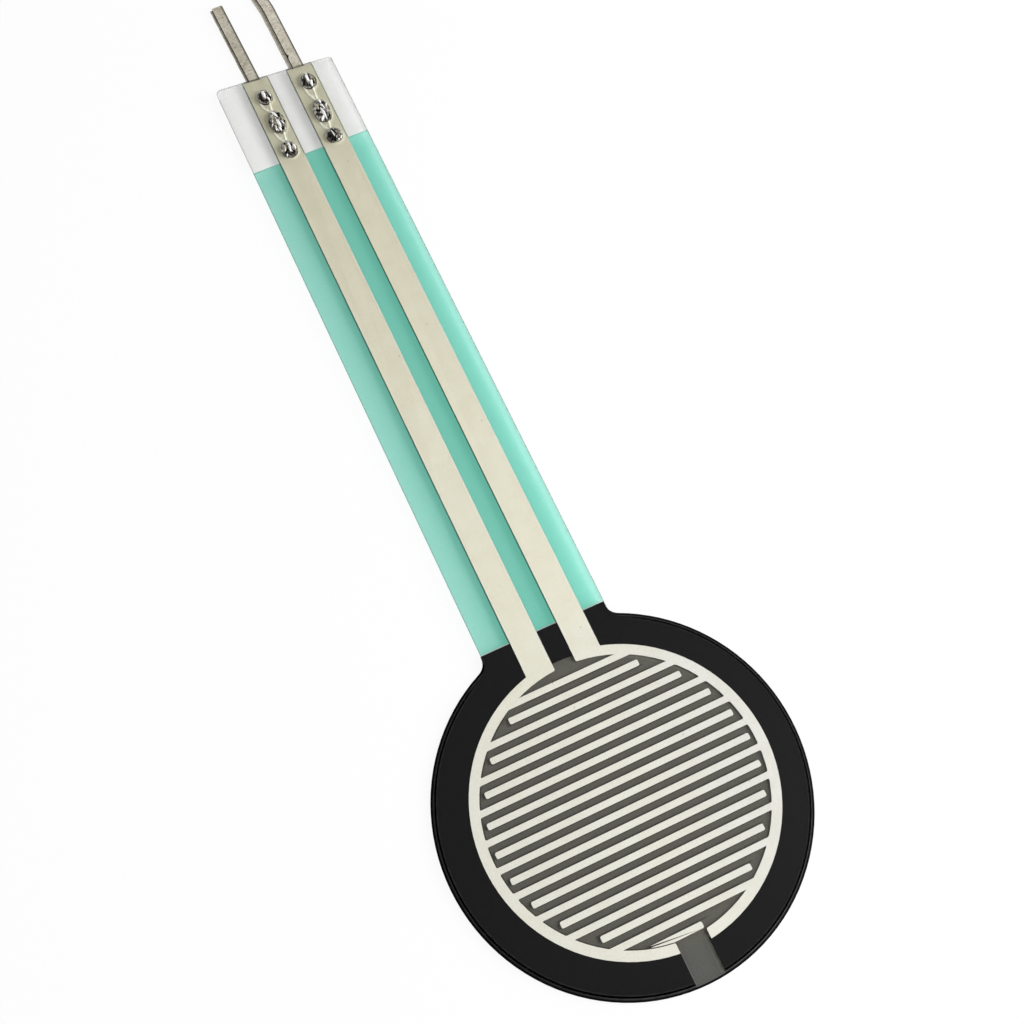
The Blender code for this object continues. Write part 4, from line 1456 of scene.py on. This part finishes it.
def scraps(hole, less_sheen, chance):
    """Smaller leaves strewn over a hole by chance, for the room between the ones in the table."""
    for _ in range(scrap_count(hole)):
        angle = chance.uniform(0.0, 2.0 * math.pi)
        reach = SCRAP_SPREAD * math.sqrt(chance.random())
        yield Splinter(
            hole.half_width * reach * math.cos(angle), hole.half_length * reach * math.sin(angle),
            chance.uniform(*SCRAP_LENGTHS), chance.uniform(*SCRAP_WIDTHS), chance.uniform(*SCRAP_TURNS),
            chance.choice(SCRAP_TONES) - less_sheen,
        )


def add_splinter(shape, hole, splinter, height, chance):
    """A narrow leaf of torn metal that lies along the tail, roofed, arched and pointed at both ends."""
    turn = math.radians(splinter.turn)
    tilt = chance.uniform(-SPLINTER_TILT, SPLINTER_TILT)
    level = height - 0.5 * splinter.x**2 + chance.uniform(-0.02, 0.02)

    def corner(layer, share, lane):
        along = splinter.length * (share - 0.5)
        pointed = math.sin(math.pi * min(max(share, SPLINTER_POINT), 1.0 - SPLINTER_POINT)) ** 0.7
        half = 0.5 * splinter.width * pointed
        across = lane * half
        up = level + SPLINTER_ARCH * math.sin(math.pi * share) - SPLINTER_ARCH
        up += SPLINTER_ROOF * half * (lane == 0) + tilt * across - layer * SPLINTER_SHEET
        rough = noise.noise(Vector((hole.x + across * 8.0, hole.y + along * 5.0, splinter.x)))
        up = min(up + SPLINTER_ROUGHNESS * rough, HIGHEST - layer * SPLINTER_SHEET)
        x = hole.x + splinter.x + across * math.cos(turn) + along * math.sin(turn)
        y = hole.y + splinter.y - across * math.sin(turn) + along * math.cos(turn)
        # The splinter's left side gets a little painted shade.
        return (x, y, up), splinter.polish - 0.2 * (lane == -1)

    add_strip(shape, SPLINTER_STEPS, 2, corner, SHEEN_MATERIAL)


print("scraps:", sum(scrap_count(hole) for hole in ALL_HOLES))

# %% [markdown]
# ## Painted sheen and shade on the teeth, and torn film
#
# Teeth and splinters carry their light and shade in their colour: they are painted white as highlights
# where the curled metal would mirror the lamp, and dark as shade at the teeth's feet and sides, on
# duller splinters and low in the hole. The mesh says how bright a place is painted, from how near the tip
# it is or from the table of splinters. Around them the holes hold shreds of film with ink on them, which
# are grey and glossy, and painted shade darkens them low down.

# %% Painted sheen and shade on the teeth, and torn film
TIN_HIGHLIGHT = srgb(255, 255, 252)
TIN_MID_SHEEN = srgb(178, 172, 157)
SHRED_LIGHT = srgb(205, 203, 192)
SHRED_DARK_AND_SHADE = srgb(25, 23, 18)
SHRED_SHADE = srgb(14, 14, 13)


@finish("teeth_sheen_and_shade")
def make_teeth_sheen_and_shade(recipe, place, x, y, z):
    scuffs = place.stretched((9.0, 4.0, 9.0)).grain(1.0)
    # Painted sheen: a white highlight where the value is high, dark shade where it is low.
    sheen = recipe.attribute("polish") + scuffs * 0.3
    colour = recipe.blend(sheen.rise(0.25, 0.5), SHRED_DARK_AND_SHADE, TIN_MID_SHEEN)
    colour = recipe.blend(sheen.rise(0.78, 0.92), colour, TIN_HIGHLIGHT)
    # Painted shade low down in the hole.
    colour = recipe.blend(z.rise(0.36, 0.50, 0.1, 1.0), SHRED_DARK_AND_SHADE, colour)
    metal = {"Metallic": sheen.rise(0.3, 0.95, 0.8, 0.1), "Normal": scuffs.relief(0.015 * MM)}
    return recipe.opaque(colour, place.grain(5.0, 0.16, 0.38), metal)


@finish("torn_film")
def make_torn_film(recipe, place, x, y, z):
    patches = place.grain(3.6, 0.1, 1.2)
    colour = recipe.blend(patches, SHRED_DARK_AND_SHADE, SHRED_LIGHT)
    # Painted shade: the lower the torn film lies in the hole, the darker.
    colour = recipe.blend(z.rise(0.34, 0.46, 0.3, 1.0), SHRED_SHADE, colour)
    metal = {"Metallic": 0.3, "Normal": patches.relief(0.014 * MM)}
    return recipe.opaque(colour, place.grain(6.0, 0.16, 0.4), metal)

# %% [markdown]
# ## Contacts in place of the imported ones
#
# Body, tab, teeth and splinters go into one mesh with two materials, as the real contact is one piece of
# metal. One random generator serves both contacts and then the torn film, so that no two holes are alike,
# and its fixed seed gives the same contacts in each run.

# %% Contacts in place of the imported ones
CHANCE_SEED = 11
CONTACT_SMOOTH = 42.0


def make_contact(contact, chance):
    """A contact in one mesh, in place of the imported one."""
    shape = bmesh.new()
    shape.verts.layers.float.new("polish")
    add_body(shape, contact)
    add_tab(shape, contact)
    for hole in contact.holes:
        place = ALL_HOLES.index(hole)
        for y in tooth_rows(hole):
            for side in (-1.0, 1.0):
                add_tooth(shape, hole.x, y, side, chance)
        for splinter in scraps(hole, SCRAPS_LESS_SHEEN_BY[place], chance):
            add_splinter(shape, hole, splinter, SCRAP_LEVEL, chance)
        for row in SPLINTERS[place]:
            add_splinter(shape, hole, Splinter(*row), SPLINTER_LEVEL, chance)
    bmesh.ops.recalc_face_normals(shape, faces=shape.faces)
    name = contact.name + "_formed"
    mesh = to_mesh(shape, name, FINISHES["tinned_contact"], FINISHES["teeth_sheen_and_shade"])
    mesh.shade_smooth()
    mesh.set_sharp_from_angle(angle=math.radians(CONTACT_SMOOTH))
    return add_piece(name, mesh, contact.name)


chance = random.Random(CHANCE_SEED)
formed_contacts = [make_contact(contact, chance) for contact in CONTACTS]
print("formed", len(formed_contacts), "contacts")

# %% [markdown]
# ## Shreds in the holes
#
# The film that stood where a hole is now was torn into small flaps. Each flap starts at the edge of the
# hole, points inwards, narrows, and dips or stands up by chance. Under them lies a crumpled floor of
# crushed film, so that the tinned body doesn't shine through; its finish darkens it with painted shade,
# as it lies lowest.

# %% Flaps and floors
FLAP_SPACING = 0.30
FLAP_REACH = 0.55
FLAP_OVERLAP = 1.15
FLAP_NARROWING = 0.7
FLAP_SHEET = 0.02
FLAP_FOLD = 0.02
FLAP_ROOT_LEVEL = 0.485
FLAP_ROOT_RADIUS = 1.03
FLAP_STEPS = 4
FLAP_LENGTHS = (0.6, 1.1)
FLAP_STANDS = (0.0, 0.09)
FLAP_DROPS = (0.0, 0.12)
FLAP_SLEWS = (-0.25, 0.25)
FLOOR_RINGS = 5
FLOOR_LEVEL = 0.335
FLOOR_BUMPS = 0.05
FLOOR_EDGE_RISE = 0.06


def add_flap(shape, hole, turn, half_angle, chance):
    """A torn flap that narrows towards the middle of the hole."""
    reach = FLAP_REACH * chance.uniform(*FLAP_LENGTHS)
    stand = chance.uniform(*FLAP_STANDS)
    drop = chance.uniform(*FLAP_DROPS)
    slew = chance.uniform(*FLAP_SLEWS)

    def corner(layer, share, lane):
        angle = turn + lane * half_angle * (1.0 - FLAP_NARROWING * share) + slew * share
        radius = FLAP_ROOT_RADIUS - reach * share
        level = FLAP_ROOT_LEVEL + stand * math.sin(math.pi * share) - drop * share**1.5
        level += FLAP_FOLD * (lane == 0) - layer * FLAP_SHEET
        x = hole.x + hole.half_width * radius * math.cos(angle)
        return (x, hole.y + hole.half_length * radius * math.sin(angle), level), 0.0

    add_strip(shape, FLAP_STEPS, 2, corner)


def add_floor(shape, hole):
    """The crushed film at the bottom of a hole, as a crumpled disc that painted shade darkens."""
    outline = list(hole_outline(hole))
    rings = []
    for k in range(1, FLOOR_RINGS + 1):
        ring = []
        for x, y in outline:
            across = (x - hole.x) * 0.99 * k / FLOOR_RINGS
            along = (y - hole.y) * 0.99 * k / FLOOR_RINGS
            place = Vector((hole.x + across, hole.y + along, 0.0))
            place.z = FLOOR_LEVEL + FLOOR_BUMPS * abs(noise.noise(place * 6.0))
            place.z += FLOOR_EDGE_RISE * (k / FLOOR_RINGS) ** 4
            ring.append(shape.verts.new(place * MM))
        rings.append(ring)
    shape.faces.new(rings[0])
    for inner, outer in zip(rings, rings[1:]):
        bridge(shape, outer, inner)


print("each floor has", FLOOR_RINGS * HOLE_CORNERS, "corners")

# %% [markdown]
# The flaps stand round each hole, a little unevenly, and overlap their neighbours. The torn film stands for
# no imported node, so it only rides on the part.

# %% Shreds in the holes


def make_shreds(contact, chance):
    """The floor and the flaps of every hole at one contact."""
    shape = bmesh.new()
    for hole in contact.holes:
        add_floor(shape, hole)
        count = round(math.pi * (hole.half_width + hole.half_length) / FLAP_SPACING)
        for i in range(count):
            turn = 2.0 * math.pi * (i + chance.uniform(-0.2, 0.2)) / count
            add_flap(shape, hole, turn, FLAP_OVERLAP * math.pi / count, chance)
    bmesh.ops.recalc_face_normals(shape, faces=shape.faces)
    name = contact.name + "_torn_film"
    return add_piece(name, to_mesh(shape, name, FINISHES["torn_film"]))


torn_pieces = [make_shreds(contact, chance) for contact in CONTACTS]
print("torn film at", len(torn_pieces), "contacts")
